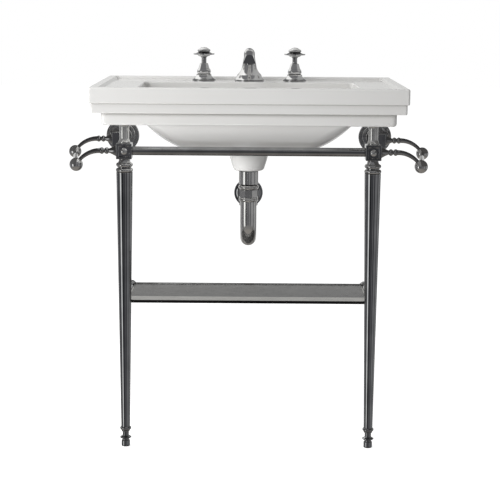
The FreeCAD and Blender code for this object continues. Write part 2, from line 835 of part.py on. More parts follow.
def support_pad(side):
    body = turned(f"support_pad_{side}_piece", [
        ("land_hole", "0"),
        ("support_end", "0"),
        ("support_end", "pad_thickness"),
        ("land_hole", "pad_thickness"),
    ], kept=False)
    foot = f"({UNDERSIDE} - pad_thickness)"
    return put(body, f"{SIDES[side]} * leg_spacing / 2", from_wall("leg_back"), foot)


def leg_collar(side):
    lower = "collar_lip"
    upper = f"({lower} + collar_ring + collar_gap)"
    shoulder = f"({upper} + collar_ring)"
    neck = f"({shoulder} + collar_shoulder)"
    body = turned(f"leg_collar_{side}_piece", [
        ("0", "0"),
        ("leg_top", "0"),
        ("leg_top", lower),
        ("collar_base", lower),
        bead("collar_base", "collar_lower_ring", lower, f"({lower} + collar_ring)"),
        ("collar_base", upper),
        bead("collar_base", "collar_upper_ring", upper, shoulder),
        ("collar_neck", neck, "-collar_hollow"),
        ("collar_neck", COLLAR_LENGTH),
        ("0", COLLAR_LENGTH),
    ], kept=False)
    return put(body, f"{SIDES[side]} * leg_spacing / 2", from_wall("leg_back"), LEG_TOP)


def leg(side):
    length = f"({LEG_TOP} - {LEG_FOOT})"
    body = turned(f"leg_{side}", [
        ("(leg_foot - leg_wall)", "0"),
        ("leg_foot", "0"),
        ("leg_top", length),
        ("(leg_top - leg_wall)", length),
    ])
    doc.recompute()
    hole = draw_circle(new_sketch(body, "XZ_Plane"), "(shelf_rod + socket_clearance)", "0",
                       f"({SHELF_AXIS} - {LEG_FOOT})")
    cut(body, hole, "(leg_top + leg_wall)")
    put(body, f"{SIDES[side]} * leg_spacing / 2", from_wall("leg_back"), LEG_FOOT)


def foot_ferrule(side):
    body = turned(f"foot_ferrule_{side}_piece", [
        ("(foot_stem + foot_clearance)", "0"),
        ("ferrule_base", "0"),
        bead("ferrule_base", "ferrule_small_ring", "0", "ferrule_small_height"),
        ("(ferrule_base + ferrule_step)", "ferrule_small_height"),
        bead("(ferrule_base + ferrule_step)", "ferrule_ring", "ferrule_small_height", FERRULE_LENGTH),
        ("(foot_stem + foot_clearance)", FERRULE_LENGTH),
    ], kept=False)
    return put(body, f"{SIDES[side]} * leg_spacing / 2", from_wall("leg_back"), "ferrule_foot")


def levelling_foot(side):
    waist = "foot_pad_height"
    ring = f"({waist} + foot_waist_height)"
    ring_top = f"({ring} + foot_ring_slope + foot_ring_land)"
    body = turned(f"levelling_foot_{side}", [
        ("0", "0"),
        ("(foot_pad - foot_pad_round)", "0"),
        quarter("foot_pad", "foot_pad_round", "foot_pad_round"),
        ("foot_pad", f"({waist} - foot_pad_round)"),
        quarter("(foot_pad - foot_pad_round)", waist, "foot_pad_round"),
        ("foot_waist", waist),
        ("foot_waist", ring),
        ("foot_ring", f"({ring} + foot_ring_slope)"),
        ("foot_ring", ring_top),
        ("foot_stem", f"({ring_top} + foot_ring_slope)"),
        ("foot_stem", "foot_stem_top"),
        ("0", "foot_stem_top"),
    ])
    put(body, f"{SIDES[side]} * leg_spacing / 2", from_wall("leg_back"))


# ---------------------------------------------------------------- towel rails at the sides
def arm(name, side, spacing, back):
    """Make a turned root with beads and a tapered arm that curves down to its ball."""
    body = new_body(name)
    first = "arm_cone"
    second = "(arm_cone + arm_bead_length + arm_bead_gap)"
    revolve(body, [
        ("0", "0"),
        ("arm_base", "0"),
        ("arm_base", "arm_base_lip"),
        ("arm_neck", "arm_cone", "-arm_root_hollow"),
        bead("arm_neck", "arm_bead", first, f"({first} + arm_bead_length)"),
        ("arm_neck", second),
        bead("arm_neck", "arm_bead", second, ARM_START),
        ("0", ARM_START),
    ])
    sections = []
    for share in ARM_SHARES:
        sketch = new_sketch(body, "XY_Plane")
        turn = f"(arm_turn * {share})"
        sketch.AttachmentOffset = Placement(Vector(), Rotation(Vector(0, 1, 0), 1))
        sketch.setExpression("AttachmentOffset.Rotation.Angle", bound(turn))
        sketch.setExpression("AttachmentOffset.Base.x", bound(f"arm_bend * (1 - cos{turn})"))
        along = f"{ARM_START} - arm_root_overlap + arm_bend * sin{turn}"
        sketch.setExpression("AttachmentOffset.Base.z", bound(along))
        sections.append(draw_circle(sketch, f"(arm_root + (arm_tip - arm_root) * {share})"))
    feature = add(body, "AdditiveLoft", sections[0])
    feature.Sections = sections[1:]
    seat = body.newObject("PartDesign::SubtractiveSphere", f"{name}_ball_seat")
    seat.setExpression("Radius", bound("ball"))
    seat.setExpression("Placement.Base.x", bound("arm_bend * (1 - cos(arm_turn))"))
    seat.setExpression("Placement.Base.z", bound(f"{ARM_START} + arm_bend * sin(arm_turn)"))
    x = f"{SIDES[side]} * ({spacing} / 2 + block / 2)"
    put(body, x, from_wall(back), "block_height", OUTWARD[side])


def rail_ball(name, side, spacing, back):
    body = turned(name, [("0", "-ball"), ("0", "ball", "ball")], kept=False)
    return put(body, f"{SIDES[side]} * ({spacing} / 2 + {BALL_REACH})", from_wall(back), BALL_HEIGHT)


def towel_rod(side):
    """Make the rod between the balls, with hollow ends that sit on them."""
    splay = "((rear_spacing - leg_spacing) / 2)"
    span = "(leg_back - rear_back)"
    length = f"sqrt({splay}^2 + {span}^2)"
    reach, hollow = ball_seat("towel_rod")
    body = new_body(f"towel_rod_{side}")
    revolve(body, [
        ("0", f"({length} - ball)", f"-{hollow}"),
        ("0", "ball"),
        ("towel_rod", reach, f"-{hollow}"),
        ("towel_rod", f"({length} - {reach})"),
    ], plane="XY_Plane")
    x = f"{SIDES[side]} * (leg_spacing / 2 + {BALL_REACH})"
    put(body, x, from_wall("leg_back"), BALL_HEIGHT, Rotation(Vector(0, 0, -SIDES[side]), 1))
    body.setExpression("Placement.Rotation.Angle", bound(f"atan({splay} / {span})"))


def wall_post(side):
    length = f"(rear_back - block / 2 - {ROSETTE_THICKNESS})"
    middle = f"({length} / 2)"
    body = turned(f"wall_post_{side}_piece", [
        ("0", "0"),
        ("post_end", "0"),
        ("post_end", "post_lip"),
        ("post", "(post_lip * 2)"),
        ("post", f"({middle} - post_bead_length / 2)"),
        bead("post", "post_bead", "0", f"({middle} + post_bead_length / 2)"),
        ("post", f"({length} - post_lip * 2)"),
        ("post_end", f"({length} - post_lip)"),
        ("post_end", length),
        ("0", length),
    ], kept=False)
    face = from_wall(ROSETTE_THICKNESS)
    return put(body, f"{SIDES[side]} * rear_spacing / 2", face, "block_height", TO_FRONT)


def wall_rosette(side):
    """Make the stepped rosette, with a blind hole in its back for the wall's stud."""
    corners = [("0", "stud_depth"), ("stud_hole", "stud_depth"), ("stud_hole", "0"), ("rosette", "0")]
    for step in range(ROSETTE_TIERS):
        radius = f"(rosette - {step} * rosette_step)"
        top = f"(rosette_height + {step} * rosette_rise)"
        corners.append((radius, f"({top} - rosette_round)"))
        corners.append(quarter(f"({radius} - rosette_round)", top, "rosette_round"))
        if step < ROSETTE_TIERS - 1:
            corners.append((f"({radius} - rosette_step)", top))
    corners.append(("0", ROSETTE_THICKNESS))
    body = turned(f"wall_rosette_{side}", corners)
    put(body, f"{SIDES[side]} * rear_spacing / 2", WALL, "block_height", TO_FRONT)


# ---------------------------------------------------------------- shelf
def shelf_frame():
    """Make the flat frame that holds the panel, notched round the legs and the rear knobs."""
    body = new_body("shelf_frame")
    half = "(leg_spacing / 2 - shelf_rod)"
    depth = "(leg_back - shelf_back - shelf_rod)"
    outline = rectangle(f"-{half}", "0", half, depth)
    add(body, "Pad", draw_outline(new_sketch(body, "XY_Plane"), outline), Length="shelf_thickness")
    inner_half = f"({half} - shelf_side_band)"
    rear = f"({depth} - shelf_rear_band)"
    panel = rectangle(f"-{inner_half}", "shelf_front_band", inner_half, rear)
    doc.recompute()
    cut(body, draw_outline(new_sketch(body, "XY_Plane", "shelf_thickness"), panel), "panel_thickness")
    sight = rectangle(f"(panel_ledge - {inner_half})", "(shelf_front_band + panel_ledge)",
                      f"({inner_half} - panel_ledge)", f"({rear} - panel_ledge)")
    cut(body, draw_outline(new_sketch(body, "XY_Plane", "shelf_thickness"), sight), "shelf_thickness")
    notches = new_sketch(body, "XY_Plane", "shelf_thickness")
    for side in SIDES.values():
        x = f"({side} * leg_spacing / 2)"
        draw_circle(notches, f"({LEG_AT_SHELF} + notch_clearance)", x)
        draw_circle(notches, "(shelf_knob + notch_clearance)", x, "(leg_back - shelf_back)")
    cut(body, notches, "shelf_thickness")
    put(body, "0", from_wall("leg_back"), "(shelf_height - shelf_thickness)")


def shelf_panel():
    body = new_body("shelf_panel")
    half = "(leg_spacing / 2 - shelf_rod - shelf_side_band - panel_clearance)"
    bands = "(shelf_front_band + shelf_rear_band + 2 * panel_clearance)"
    depth = f"(leg_back - shelf_back - shelf_rod - {bands})"
    outline = rectangle(f"-{half}", "0", half, depth)
    add(body, "Pad", draw_outline(new_sketch(body, "XY_Plane"), outline), Length="panel_thickness")
    front = from_wall("leg_back - shelf_front_band - panel_clearance")
    put(body, "0", front, "(shelf_height - panel_thickness)")


def knob_seat():
    """Return where a shelf rod meets its corner knob, and the hollow of its end."""
    reach = "sqrt(shelf_knob^2 - shelf_rod^2)"
    hollow = f"(shelf_knob - sqrt((shelf_knob^2 + shelf_knob * {reach}) / 2))"
    return reach, hollow


def shelf_side_rod(side):
    reach, hollow = knob_seat()
    length = "(leg_back - shelf_back)"
    body = turned(f"shelf_side_rod_{side}", [
        ("0", "0"),
        ("shelf_rod", "0"),
        ("shelf_rod", f"({length} - {reach})"),
        ("0", f"({length} - shelf_knob)", f"-{hollow}"),
    ])
    put(body, f"{SIDES[side]} * leg_spacing / 2", from_wall("leg_back"), SHELF_AXIS, TO_WALL)


def shelf_rear_rail():
    reach, hollow = knob_seat()
    body = turned("shelf_rear_rail", [
        ("0", "(leg_spacing - shelf_knob)", f"-{hollow}"),
        ("0", "shelf_knob"),
        ("shelf_rod", reach, f"-{hollow}"),
        ("shelf_rod", f"(leg_spacing - {reach})"),
    ])
    put(body, "-leg_spacing / 2", from_wall("shelf_back"), SHELF_AXIS, TO_RIGHT)


def shelf_knob(side):
    body = turned(f"shelf_knob_{side}_piece", [("0", "-shelf_knob"), ("0", "shelf_knob", "shelf_knob")],
                  kept=False)
    return put(body, f"{SIDES[side]} * leg_spacing / 2", from_wall("shelf_back"), SHELF_AXIS)


# ---------------------------------------------------------------- waste and trap
def waste_body():
    """Make the flanged waste, with a cross in its throat that guides the plug's stem."""
    foot = "waste_tail_foot"
    under_flange = f"({BOWL_FLOOR} - waste_flange_thickness)"
    body = new_body("waste_body")
    revolve(body, [
        ("waste_bore", foot),
        ("waste_tail", foot),
        ("waste_tail", under_flange),
        ("waste_flange", under_flange),
        ("waste_flange", f"({BOWL_FLOOR} - waste_flange_thickness / 2)"),
        ("waste_seat", BOWL_FLOOR),
        ("waste_bore", under_flange),
    ])
    long, short, hub = "(waste_bore + spider_bite)", "(spider_arm / 2)", "spider_hub"
    cross = []
    for turn_x, turn_y in ((1, 0), (0, 1), (-1, 0), (0, -1)):
        for along, across in ((hub, f"-{short}"), (long, f"-{short}"), (long, short), (hub, short)):
            cross.append((f"({turn_x} * {along} - {turn_y} * ({across}))",
                          f"({turn_y} * {along} + {turn_x} * ({across}))"))
    spider = draw_outline(new_sketch(body, "XY_Plane", "spider_height"), cross)
    add(body, "Pad", spider, Length="spider_thickness")
    doc.recompute()
    guide = new_sketch(body, "XY_Plane", "(spider_height + spider_thickness)")
    cut(body, draw_circle(guide, "(stem + stem_clearance)"), "spider_thickness")
    put(body, "0", from_wall("waste_back"))


def waste_plug():
    seat = f"({BOWL_FLOOR} + plug_gap)"
    plug = turned("waste_plug", [
        ("0", "stem_foot"),
        ("stem_clip", "stem_foot"),
        ("stem_clip", "(stem_foot + stem_clip_length)"),
        ("stem", "(stem_foot + stem_clip_length)"),
        ("stem", seat),
        ("plug_rim", seat),
        ("plug_rim", f"({seat} + plug_rim_height)"),
        ("0", f"({seat} + plug_rim_height + plug_crown)", dome("plug_rim", "plug_crown")),
    ])
    put(plug, "0", from_wall("waste_back"))


def ring(name, inner, outer, foot, length, x="0", back="waste_back", kept=True):
    """Make a plain upright ring."""
    body = turned(name, [(inner, "0"), (outer, "0"), (outer, length), (inner, length)], kept)
    return put(body, x, from_wall(back), foot)


def waste_sleeve():
    bore, top = "(waste_tail + sleeve_clearance)", "(outlet_height - seal_thickness)"
    ring("waste_seal", bore, "seal", top, "seal_thickness")
    ring("waste_sleeve", bore, "sleeve", "sleeve_foot", "sleeve_length")


def trap_nut():
    """Make the coupling nut: a bead above and below a band of flats."""
    length = "trap_nut_length"
    upper = f"({length} - trap_nut_upper_height)"
    bore, cup = "(waste_tail + sleeve_clearance)", "(trap_tube + sleeve_clearance)"
    core = "(trap_nut_core)"
    body = turned("trap_nut", [
        (bore, "trap_nut_lower_height"),
        (cup, "trap_nut_lower_height"),
        (cup, "0"),
        (core, "0"),
        bead(core, "trap_nut_lower_ring", "0", "trap_nut_lower_height"),
        (core, upper),
        bead(core, "trap_nut_upper_ring", upper, length),
        (bore, length),
    ])
    band = new_sketch(body, "XY_Plane", "(trap_nut_lower_height + trap_nut_flats_gap)")
    draw_outline(band, regular(OCTAGON_COUNT, "trap_nut_flats"))
    draw_circle(band, f"({core} - nut_band_bite)")
    add(body, "Pad", band, Length=f"({upper} - trap_nut_lower_height - 2 * trap_nut_flats_gap)")
    put(body, "0", from_wall("waste_back"), "trap_nut_foot")


def trap_bend():
    """Make the trap's tube: down, back up towards the wall and over into the outlet."""
    body = new_body("trap_bend")
    top = "(trap_nut_foot + trap_nut_lower_height)"
    rise = "(2 * trap_bend)"
    over = f"({rise} + trap_elbow)"
    end = "(waste_back - trap_join_back)"
    path = new_sketch(body, "YZ_Plane")
    start, bottom = Vector(0, value(top), 0), Vector(0, value("trap_bend_height"), 0)
    low = Vector(value("trap_bend"), value("trap_bend_height"), 0)
    elbow = Vector(value(over), value("trap_bend_height"), 0)
    level = Vector(value(over), value(OUTLET_AXIS), 0)
    drop = path.addGeometry(Part.LineSegment(start, bottom))
    half_turn = Part.ArcOfCircle(Part.Circle(low, Vector(0, 0, 1), low.x), math.pi, 2 * math.pi)
    bend = path.addGeometry(half_turn)
    turn = Part.ArcOfCircle(Part.Circle(elbow, Vector(0, 0, 1), value("trap_elbow")), math.pi / 2, math.pi)
    corner = path.addGeometry(turn)
    run = path.addGeometry(Part.LineSegment(level, Vector(value(end), level.y, 0)))
    joins = ((drop, 2, bend, 1), (bend, 2, corner, 2), (corner, 1, run, 1))
    for first, first_end, second, second_end in joins:
        path.addConstraint(Sketcher.Constraint("Coincident", first, first_end, second, second_end))
    bind_point(path, drop, 1, "0", top)
    bind_point(path, drop, 2, "0", "trap_bend_height")
    bind_point(path, bend, 3, "trap_bend", "trap_bend_height")
    bind_point(path, bend, 2, None, "trap_bend_height")
    bind_point(path, corner, 3, over, "trap_bend_height")
    bind_point(path, corner, 1, over, None)
    bind_point(path, run, 2, end, OUTLET_AXIS)
    section = new_sketch(body, "XY_Plane", top)
    draw_circle(section, "trap_tube")
    draw_circle(section, "(trap_tube - trap_wall)")
    pipe = add(body, "AdditivePipe", section)
    pipe.Spine = (path, [])
    put(body, "0", from_wall("waste_back"))


def trap_outlet():
    """Make the outlet's nut, its pipe to the wall and the flange that covers the wall's hole."""
    grip = "(trap_tube + sleeve_clearance)"
    nut = turned("trap_union_nut", [
        (grip, "0"),
        ("(trap_nut_core)", "0"),
        bead("(trap_nut_core)", "union_ring", "0", "union_bead"),
        ("(trap_nut_core)", "union_length"),
        (grip, "union_length"),
    ])
    band = new_sketch(nut, "XY_Plane", "(union_bead + trap_nut_flats_gap)")
    draw_outline(band, regular(OCTAGON_COUNT, "union_flats"))
    draw_circle(band, "(trap_nut_core - nut_band_bite)")
    add(nut, "Pad", band, Length="(union_length - union_bead - trap_nut_flats_gap)")
    put(nut, "0", from_wall("trap_join_back - union_length / 2"), OUTLET_AXIS, TO_FRONT)
    pipe = turned("outlet_pipe", [
        ("(trap_tube - trap_wall)", "0"),
        ("trap_tube", "0"),
        ("trap_tube", "trap_join_back"),
        ("(trap_tube - trap_wall)", "trap_join_back"),
    ])
    put(pipe, "0", WALL, OUTLET_AXIS, TO_FRONT)
    flange = turned("trap_wall_flange", [
        (grip, "0"),
        ("trap_flange", "0"),
        ("trap_flange", "trap_flange_edge"),
        ("trap_flange_neck", "trap_flange_height", "-trap_flange_hollow"),
        (grip, "trap_flange_height"),
    ])
    put(flange, "0", WALL, OUTLET_AXIS, TO_FRONT)


# ---------------------------------------------------------------- taps and spout
def tap_x(side):
    return f"({SIDES[side]} * tap_spacing / 2)"


def deck_washer(name, x):
    foot = f"({DECK_UNDERSIDE} - washer_thickness)"
    return ring(name, "(shank + shank_clearance)", "washer", foot, "washer_thickness", x, "tap_back", False)


def deck_nut(name, x):
    body = new_body(name, kept=False)
    sketch = new_sketch(body, "XY_Plane")
    draw_outline(sketch, regular(HEXAGON_COUNT, "nut_flats"))
    draw_circle(sketch, "(shank + shank_clearance)")
    add(body, "Pad", sketch, Length="nut_thickness")
    return put(body, x, from_wall("tap_back"), f"({DECK_UNDERSIDE} - washer_thickness - nut_thickness)")


def deck_fixings():
    """Make the washer and nut that clamp each tap and the spout to the deck."""
    places = {"left": tap_x("left"), "middle": "0", "right": tap_x("right")}
    group("deck_washers", [deck_washer(f"deck_washer_{name}", x) for name, x in places.items()])
    group("deck_nuts", [deck_nut(f"deck_nut_{name}", x) for name, x in places.items()])


def tap_flange(side):
    body = turned(f"tap_flange_{side}_piece", [
        ("(shank + shank_clearance)", "0"),
        ("tap_flange", "0"),
        ("tap_flange", "tap_flange_edge"),
        ("tap_flange_neck", "(tap_flange_height - tap_flange_edge)", "-tap_flange_hollow"),
        ("tap_flange_neck", "tap_flange_height"),
        ("(shank + shank_clearance)", "tap_flange_height"),
    ], kept=False)
    return put(body, tap_x(side), from_wall("tap_back"), DECK)


def link_boss(body, direction):
    """Add the side outlet that a link pipe meets, pointing along the body's X."""
    sketch = draw_circle(new_sketch(body, "YZ_Plane"), "link_boss", "0", "link_height")
    boss = add(body, "Pad", sketch, Length="link_boss_reach")
    boss.Reversed = direction < 0
    doc.recompute()


def tap_valve(side):
    """Make the valve: its threaded shank through the deck and the turned body above it."""
    body = new_body(f"tap_valve_{side}")
    bore_foot = f"({BONNET_FOOT} - spindle_depth)"
    revolve(body, [
        ("0", "shank_foot"),
        ("shank", "shank_foot"),
        ("shank", "(shank_foot + shank_tail)"),
        ("shank_relief", "(shank_foot + shank_tail)"),
        ("shank_relief", "(shank_foot + shank_tail + shank_relief_length)"),
        ("shank", "(shank_foot + shank_tail + shank_relief_length)"),
        ("shank", TAP_FLANGE_TOP),
        ("tap_body_base", TAP_FLANGE_TOP),
        bead("tap_body_base", "tap_body", TAP_FLANGE_TOP, BONNET_FOOT),
        ("(spindle + spindle_clearance)", BONNET_FOOT),
        ("(spindle + spindle_clearance)", bore_foot),
        ("0", bore_foot),
    ])
    link_boss(body, -SIDES[side])
    put(body, tap_x(side), from_wall("tap_back"))


def tap_bonnet(side):
    body = turned(f"tap_bonnet_{side}_piece", [
        ("(spindle + spindle_clearance)", "0"),
        ("bonnet_base", "0"),
        ("bonnet", "(bonnet_height - bonnet_edge)"),
        quarter("(bonnet - bonnet_edge)", "bonnet_height", "bonnet_edge"),
        ("(spindle + spindle_clearance)", "bonnet_height"),
    ], kept=False)
    return put(body, tap_x(side), from_wall("tap_back"), BONNET_FOOT)


def tap_spindle(side):
    foot = f"({BONNET_FOOT} - spindle_depth + spindle_gap)"
    shoulder = f"({SPINDLE_SHOULDER} - {foot})"
    body = turned(f"tap_spindle_{side}", [
        ("0", "0"),
        ("spindle", "0"),
        ("spindle", shoulder),
        ("spindle_nose", shoulder),
        ("spindle_nose", f"({shoulder} + spindle_nose_rise)"),
        ("0", f"({shoulder} + spindle_nose_rise)"),
    ])
    put(body, tap_x(side), from_wall("tap_back"), foot)


def tap_handle(side):
    """Make the handle: a cup under a scalloped disc, with a ring that holds the index."""
    bore = "(spindle_nose + handle_bore_clearance)"
    disc_top = "(handle_cup + handle_disc_thickness)"
    ring_foot = f"({disc_top} + handle_ring_rise)"
    ring_top = HANDLE_RING_TOP
    recess = "(index + index_clearance)"
    body = turned(f"tap_handle_{side}", [
        (bore, "(0 - handle_gap)"),
        ("handle_hub", "(0 - handle_gap)"),
        ("handle_hub", "handle_hub_length"),
        ("handle_cup_rim", "handle_cup", "handle_cup_round"),
        ("(handle_disc - handle_disc_edge)", "handle_cup"),
        quarter("handle_disc", "(handle_cup + handle_disc_edge)", "handle_disc_edge"),
        ("handle_disc", f"({disc_top} - handle_disc_edge)"),
        quarter("(handle_disc - handle_disc_edge)", disc_top, "handle_disc_edge"),
        ("handle_neck", ring_foot, "-handle_ring_hollow"),
        bead("handle_neck", "handle_ring", ring_foot, ring_top),
        (recess, ring_top),
        (recess, f"({ring_top} - index_recess)"),
        (bore, f"({ring_top} - index_recess)"),
    ])
    doc.recompute()
    bite = new_sketch(body, "XY_Plane", f"({disc_top} + handle_scallop_start)")
    draw_circle(bite, "handle_scallop", "(handle_disc + handle_scallop - handle_scallop_bite)")
    scallop = cut(body, bite, "(handle_disc_thickness + handle_cup)")
    pattern = body.newObject("PartDesign::PolarPattern", f"{body.Name}_scallops")
    pattern.Originals = [scallop]
    axis = next(item for item in body.Origin.OriginFeatures if item.Role == "Z_Axis")
    pattern.Axis = (axis, [""])
    pattern.Angle = 360
    pattern.setExpression("Occurrences", bound("handle_scallop_count"))
    body.Tip = pattern
    put(body, tap_x(side), from_wall("tap_back"), HANDLE_FOOT)


def tap_index(side):
    body = turned(f"tap_index_{side}", [
        ("0", "0"),
        ("index", "0"),
        ("index", "index_wall"),
        ("0", "(index_wall + index_crown)", dome("index", "index_crown")),
    ])
    foot = f"({HANDLE_FOOT} + {HANDLE_RING_TOP} - index_recess)"
    put(body, tap_x(side), from_wall("tap_back"), foot)


def link_pipe(side):
    length = "(tap_spacing / 2 - 2 * link_boss_reach)"
    body = turned(f"link_pipe_{side}_piece", [
        ("(link_pipe - link_pipe_wall)", "0"),
        ("link_pipe", "0"),
        ("link_pipe", length),
        ("(link_pipe - link_pipe_wall)", length),
    ], kept=False)
    start = f"{SIDES[side]} * link_boss_reach"
    return put(body, start, from_wall("tap_back"), "link_height", OUTWARD[side])


def nose_section(half, foot, top):
    """Return a section of the spout's nose: wide below, with a crowned ridge."""
    return [
        (f"-({half})", foot),
        (half, foot),
        ("nose_ridge_half", top),
        ("-nose_ridge_half", top, "nose_crown"),
    ]


def spout():
    """Make the spout: a waisted column with a domed top and a nose that reaches forward."""
    flange = turned("spout_flange", [
        ("(shank + shank_clearance)", "0"),
        ("spout_flange", "0"),
        ("spout_flange", "spout_flange_edge"),
        ("spout_flange_neck", "spout_flange_height", "-spout_flange_hollow"),
        ("(shank + shank_clearance)", "spout_flange_height"),
    ])
    put(flange, "0", from_wall("tap_back"), DECK)
    body = new_body("spout")
    revolve(body, [
        ("0", "spout_shank_foot"),
        ("shank", "spout_shank_foot"),
        ("shank", f"({DECK} + spout_flange_height)"),
        ("spout_flange_neck", f"({DECK} + spout_flange_height)"),
        ("spout_waist", f"({DECK} + spout_waist_height)", "-spout_waist_hollow"),
        ("spout_dome", f"({DECK} + spout_dome_height)"),
        ("spout_dome", f"({DECK} + spout_height - spout_dome)"),
        ("0", f"({DECK} + spout_height)", dome("spout_dome", "spout_dome")),
    ])
    stations = [
        ("tap_back", "nose_root"),
        ("nose_middle_back", "nose_middle"),
        ("nose_near_back", "nose_near"),
        ("nose_tip_back", "nose_tip"),
    ]
    sections = []
    for back, name in stations:
        outline = nose_section(f"{name}_half", f"({DECK} + {name}_foot)", f"({DECK} + {name}_top)")
        sections.append((f"({back} - tap_back)", outline))
    loft(body, sections, plane="XZ_Plane")
    for direction in (-1, 1):
        link_boss(body, direction)
    mouth_y = "(tap_back - mouthpiece_back)"
    mouth = new_sketch(body, "XY_Plane", f"({DECK} + mouthpiece_foot)")
    draw_circle(mouth, "mouthpiece", "0", mouth_y)
    add(body, "Pad", mouth, Length="(mouthpiece_top - mouthpiece_foot)")
    doc.recompute()
    bore = new_sketch(body, "XY_Plane", f"({DECK} + mouthpiece_foot)")
    draw_circle(bore, "(aerator_neck + aerator_clearance)", "0", mouth_y)
    cut(body, bore, "aerator_grip", reverse=True)
    put(body, "0", from_wall("tap_back"))


def aerator():
    collar = "(aerator_length - aerator_grip)"
    body = turned("aerator", [
        ("aerator_bore", "0"),
        ("aerator", "0"),
        ("aerator", collar),
        ("aerator_neck", collar),
        ("aerator_neck", "aerator_length"),
        ("aerator_bore", "aerator_length"),
    ])
    put(body, "0", from_wall("mouthpiece_back"), f"({DECK} + mouthpiece_foot - {collar})")


# ---------------------------------------------------------------- assembly
def washstand():
    front_bar()
    for side, sign in SIDES.items():
        corner_block(f"corner_block_{side}", f"{sign} * leg_spacing / 2", "leg_back", -sign)
        corner_block(f"rear_block_{side}", f"{sign} * rear_spacing / 2", "rear_back", panel=False)
        basin_support(side)
        leg(side)
        levelling_foot(side)
        arm(f"front_arm_{side}", side, "leg_spacing", "leg_back")
        arm(f"rear_arm_{side}", side, "rear_spacing", "rear_back")
        group(f"rail_balls_{side}", [
            rail_ball(f"front_ball_{side}", side, "leg_spacing", "leg_back"),
            rail_ball(f"rear_ball_{side}", side, "rear_spacing", "rear_back"),
        ])
        towel_rod(side)
        wall_rosette(side)
    group("block_buttons", [button(side) for side in SIDES])
    group("support_pads", [support_pad(side) for side in SIDES])
    group("leg_collars", [leg_collar(side) for side in SIDES])
    group("foot_ferrules", [foot_ferrule(side) for side in SIDES])
    group("wall_posts", [wall_post(side) for side in SIDES])


def shelf():
    shelf_frame()
    shelf_panel()
    for side in SIDES:
        shelf_side_rod(side)
    shelf_rear_rail()
    group("shelf_knobs", [shelf_knob(side) for side in SIDES])


def plumbing():
    waste_body()
    waste_plug()
    waste_sleeve()
    trap_nut()
    trap_bend()
    trap_outlet()


def taps():
    deck_fixings()
    for side in SIDES:
        tap_valve(side)
        tap_spindle(side)
        tap_handle(side)
        tap_index(side)
    group("tap_flanges", [tap_flange(side) for side in SIDES])
    group("tap_bonnets", [tap_bonnet(side) for side in SIDES])
    group("link_pipes", [link_pipe(side) for side in SIDES])
    spout()
    aerator()


def check_and_write():
    """Stop on any failed object or bad shape, then write each piece to its own file."""
    doc.recompute()
    failed = [item.Label for item in doc.Objects if {"Invalid", "Error"} & set(item.State)]
    failed += [node.Label for node in nodes if node.Shape.isNull() or not node.Shape.isValid()]
    if failed:
        raise RuntimeError(f"failed: {sorted(set(failed))}")
    os.makedirs("parts", exist_ok=True)
    for node in nodes:
        node.Shape.exportStep(f"parts/{node.Label}.step")
        box = node.Shape.BoundBox
        print(f"{node.Label:24s} {len(node.Shape.Solids)} solid(s) {node.Shape.Volume / 1000:9.2f} cm3"
              f"  X {box.XMin:8.2f} {box.XMax:8.2f}  Y {box.YMin:8.2f} {box.YMax:8.2f}"
              f"  Z {box.ZMin:8.2f} {box.ZMax:8.2f}")
    print(len(nodes), "nodes")


fill_sheet()
basin()
washstand()
shelf()
plumbing()
taps()
check_and_write()
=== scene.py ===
"""Looks of a stepped ceramic console basin on a chrome washstand.

Metres, in the part's own frame: it stands on Z = 0, its back is at +Y and its front at -Y.
The solids keep their own shapes and get their finishes here. What they leave out is added
as pieces of its own: the rolled threads of the levelling feet and the valve shanks, and
the woven screen in the spout's mouth.
"""
from __future__ import annotations

import logging
import math
from dataclasses import dataclass
from enum import Enum
from typing import Sequence

import bmesh
import bpy
from mathutils import Matrix, Vector

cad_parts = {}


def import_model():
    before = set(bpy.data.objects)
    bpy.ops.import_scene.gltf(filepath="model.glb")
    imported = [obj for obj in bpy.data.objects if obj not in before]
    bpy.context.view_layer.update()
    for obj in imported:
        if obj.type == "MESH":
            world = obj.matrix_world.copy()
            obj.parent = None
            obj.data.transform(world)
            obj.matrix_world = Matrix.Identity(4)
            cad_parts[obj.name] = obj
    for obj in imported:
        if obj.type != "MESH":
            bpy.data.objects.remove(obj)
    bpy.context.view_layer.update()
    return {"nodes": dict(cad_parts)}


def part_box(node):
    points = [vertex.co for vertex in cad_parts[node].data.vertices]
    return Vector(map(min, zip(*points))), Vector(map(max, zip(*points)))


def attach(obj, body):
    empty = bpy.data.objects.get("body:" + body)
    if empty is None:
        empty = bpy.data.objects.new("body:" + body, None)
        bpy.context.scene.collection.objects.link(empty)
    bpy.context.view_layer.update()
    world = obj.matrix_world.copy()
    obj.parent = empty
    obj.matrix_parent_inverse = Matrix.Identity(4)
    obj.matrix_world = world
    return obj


LOG = logging.getLogger("console_basin")
SIDES = ("left", "right")

Colour = tuple[float, float, float]
Point = tuple[float, float, float]
Span = tuple[float, float]
Socket = bpy.types.NodeSocket
Tone = Colour | Socket
Mesh = bmesh.types.BMesh
Nodes = dict[str, bpy.types.Object]

WHOLE: Span = (0.0, 1.0)
NOISE_SPAN: Span = (0.3, 0.7)
OCCLUSION_RAYS = 8
MIX_FIRST, MIX_SECOND, MIX_RESULT = 6, 7, 2
ALL_BUT_MIRRORS = ("camera", "diffuse", "shadow", "transmission")


# ---------------------------------------------------------------- node graphs
class Axis(Enum):
    """The parts of a vector."""

    X = 0
    Y = 1
    Z = 2


@dataclass(frozen=True)
class Grain:
    """A noise: its cells per metre, its finer layers and how strong those are.

    A stretched grain multiplies each coordinate by its own factor first.
    """

    scale: float
    detail: float = 2.0
    roughness: float = 0.5
    stretch: Point | None = None


@dataclass(frozen=True)
class Relief:
    """How far a height tilts the surface: its strength, and its distance in metres."""

    strength: float
    distance: float


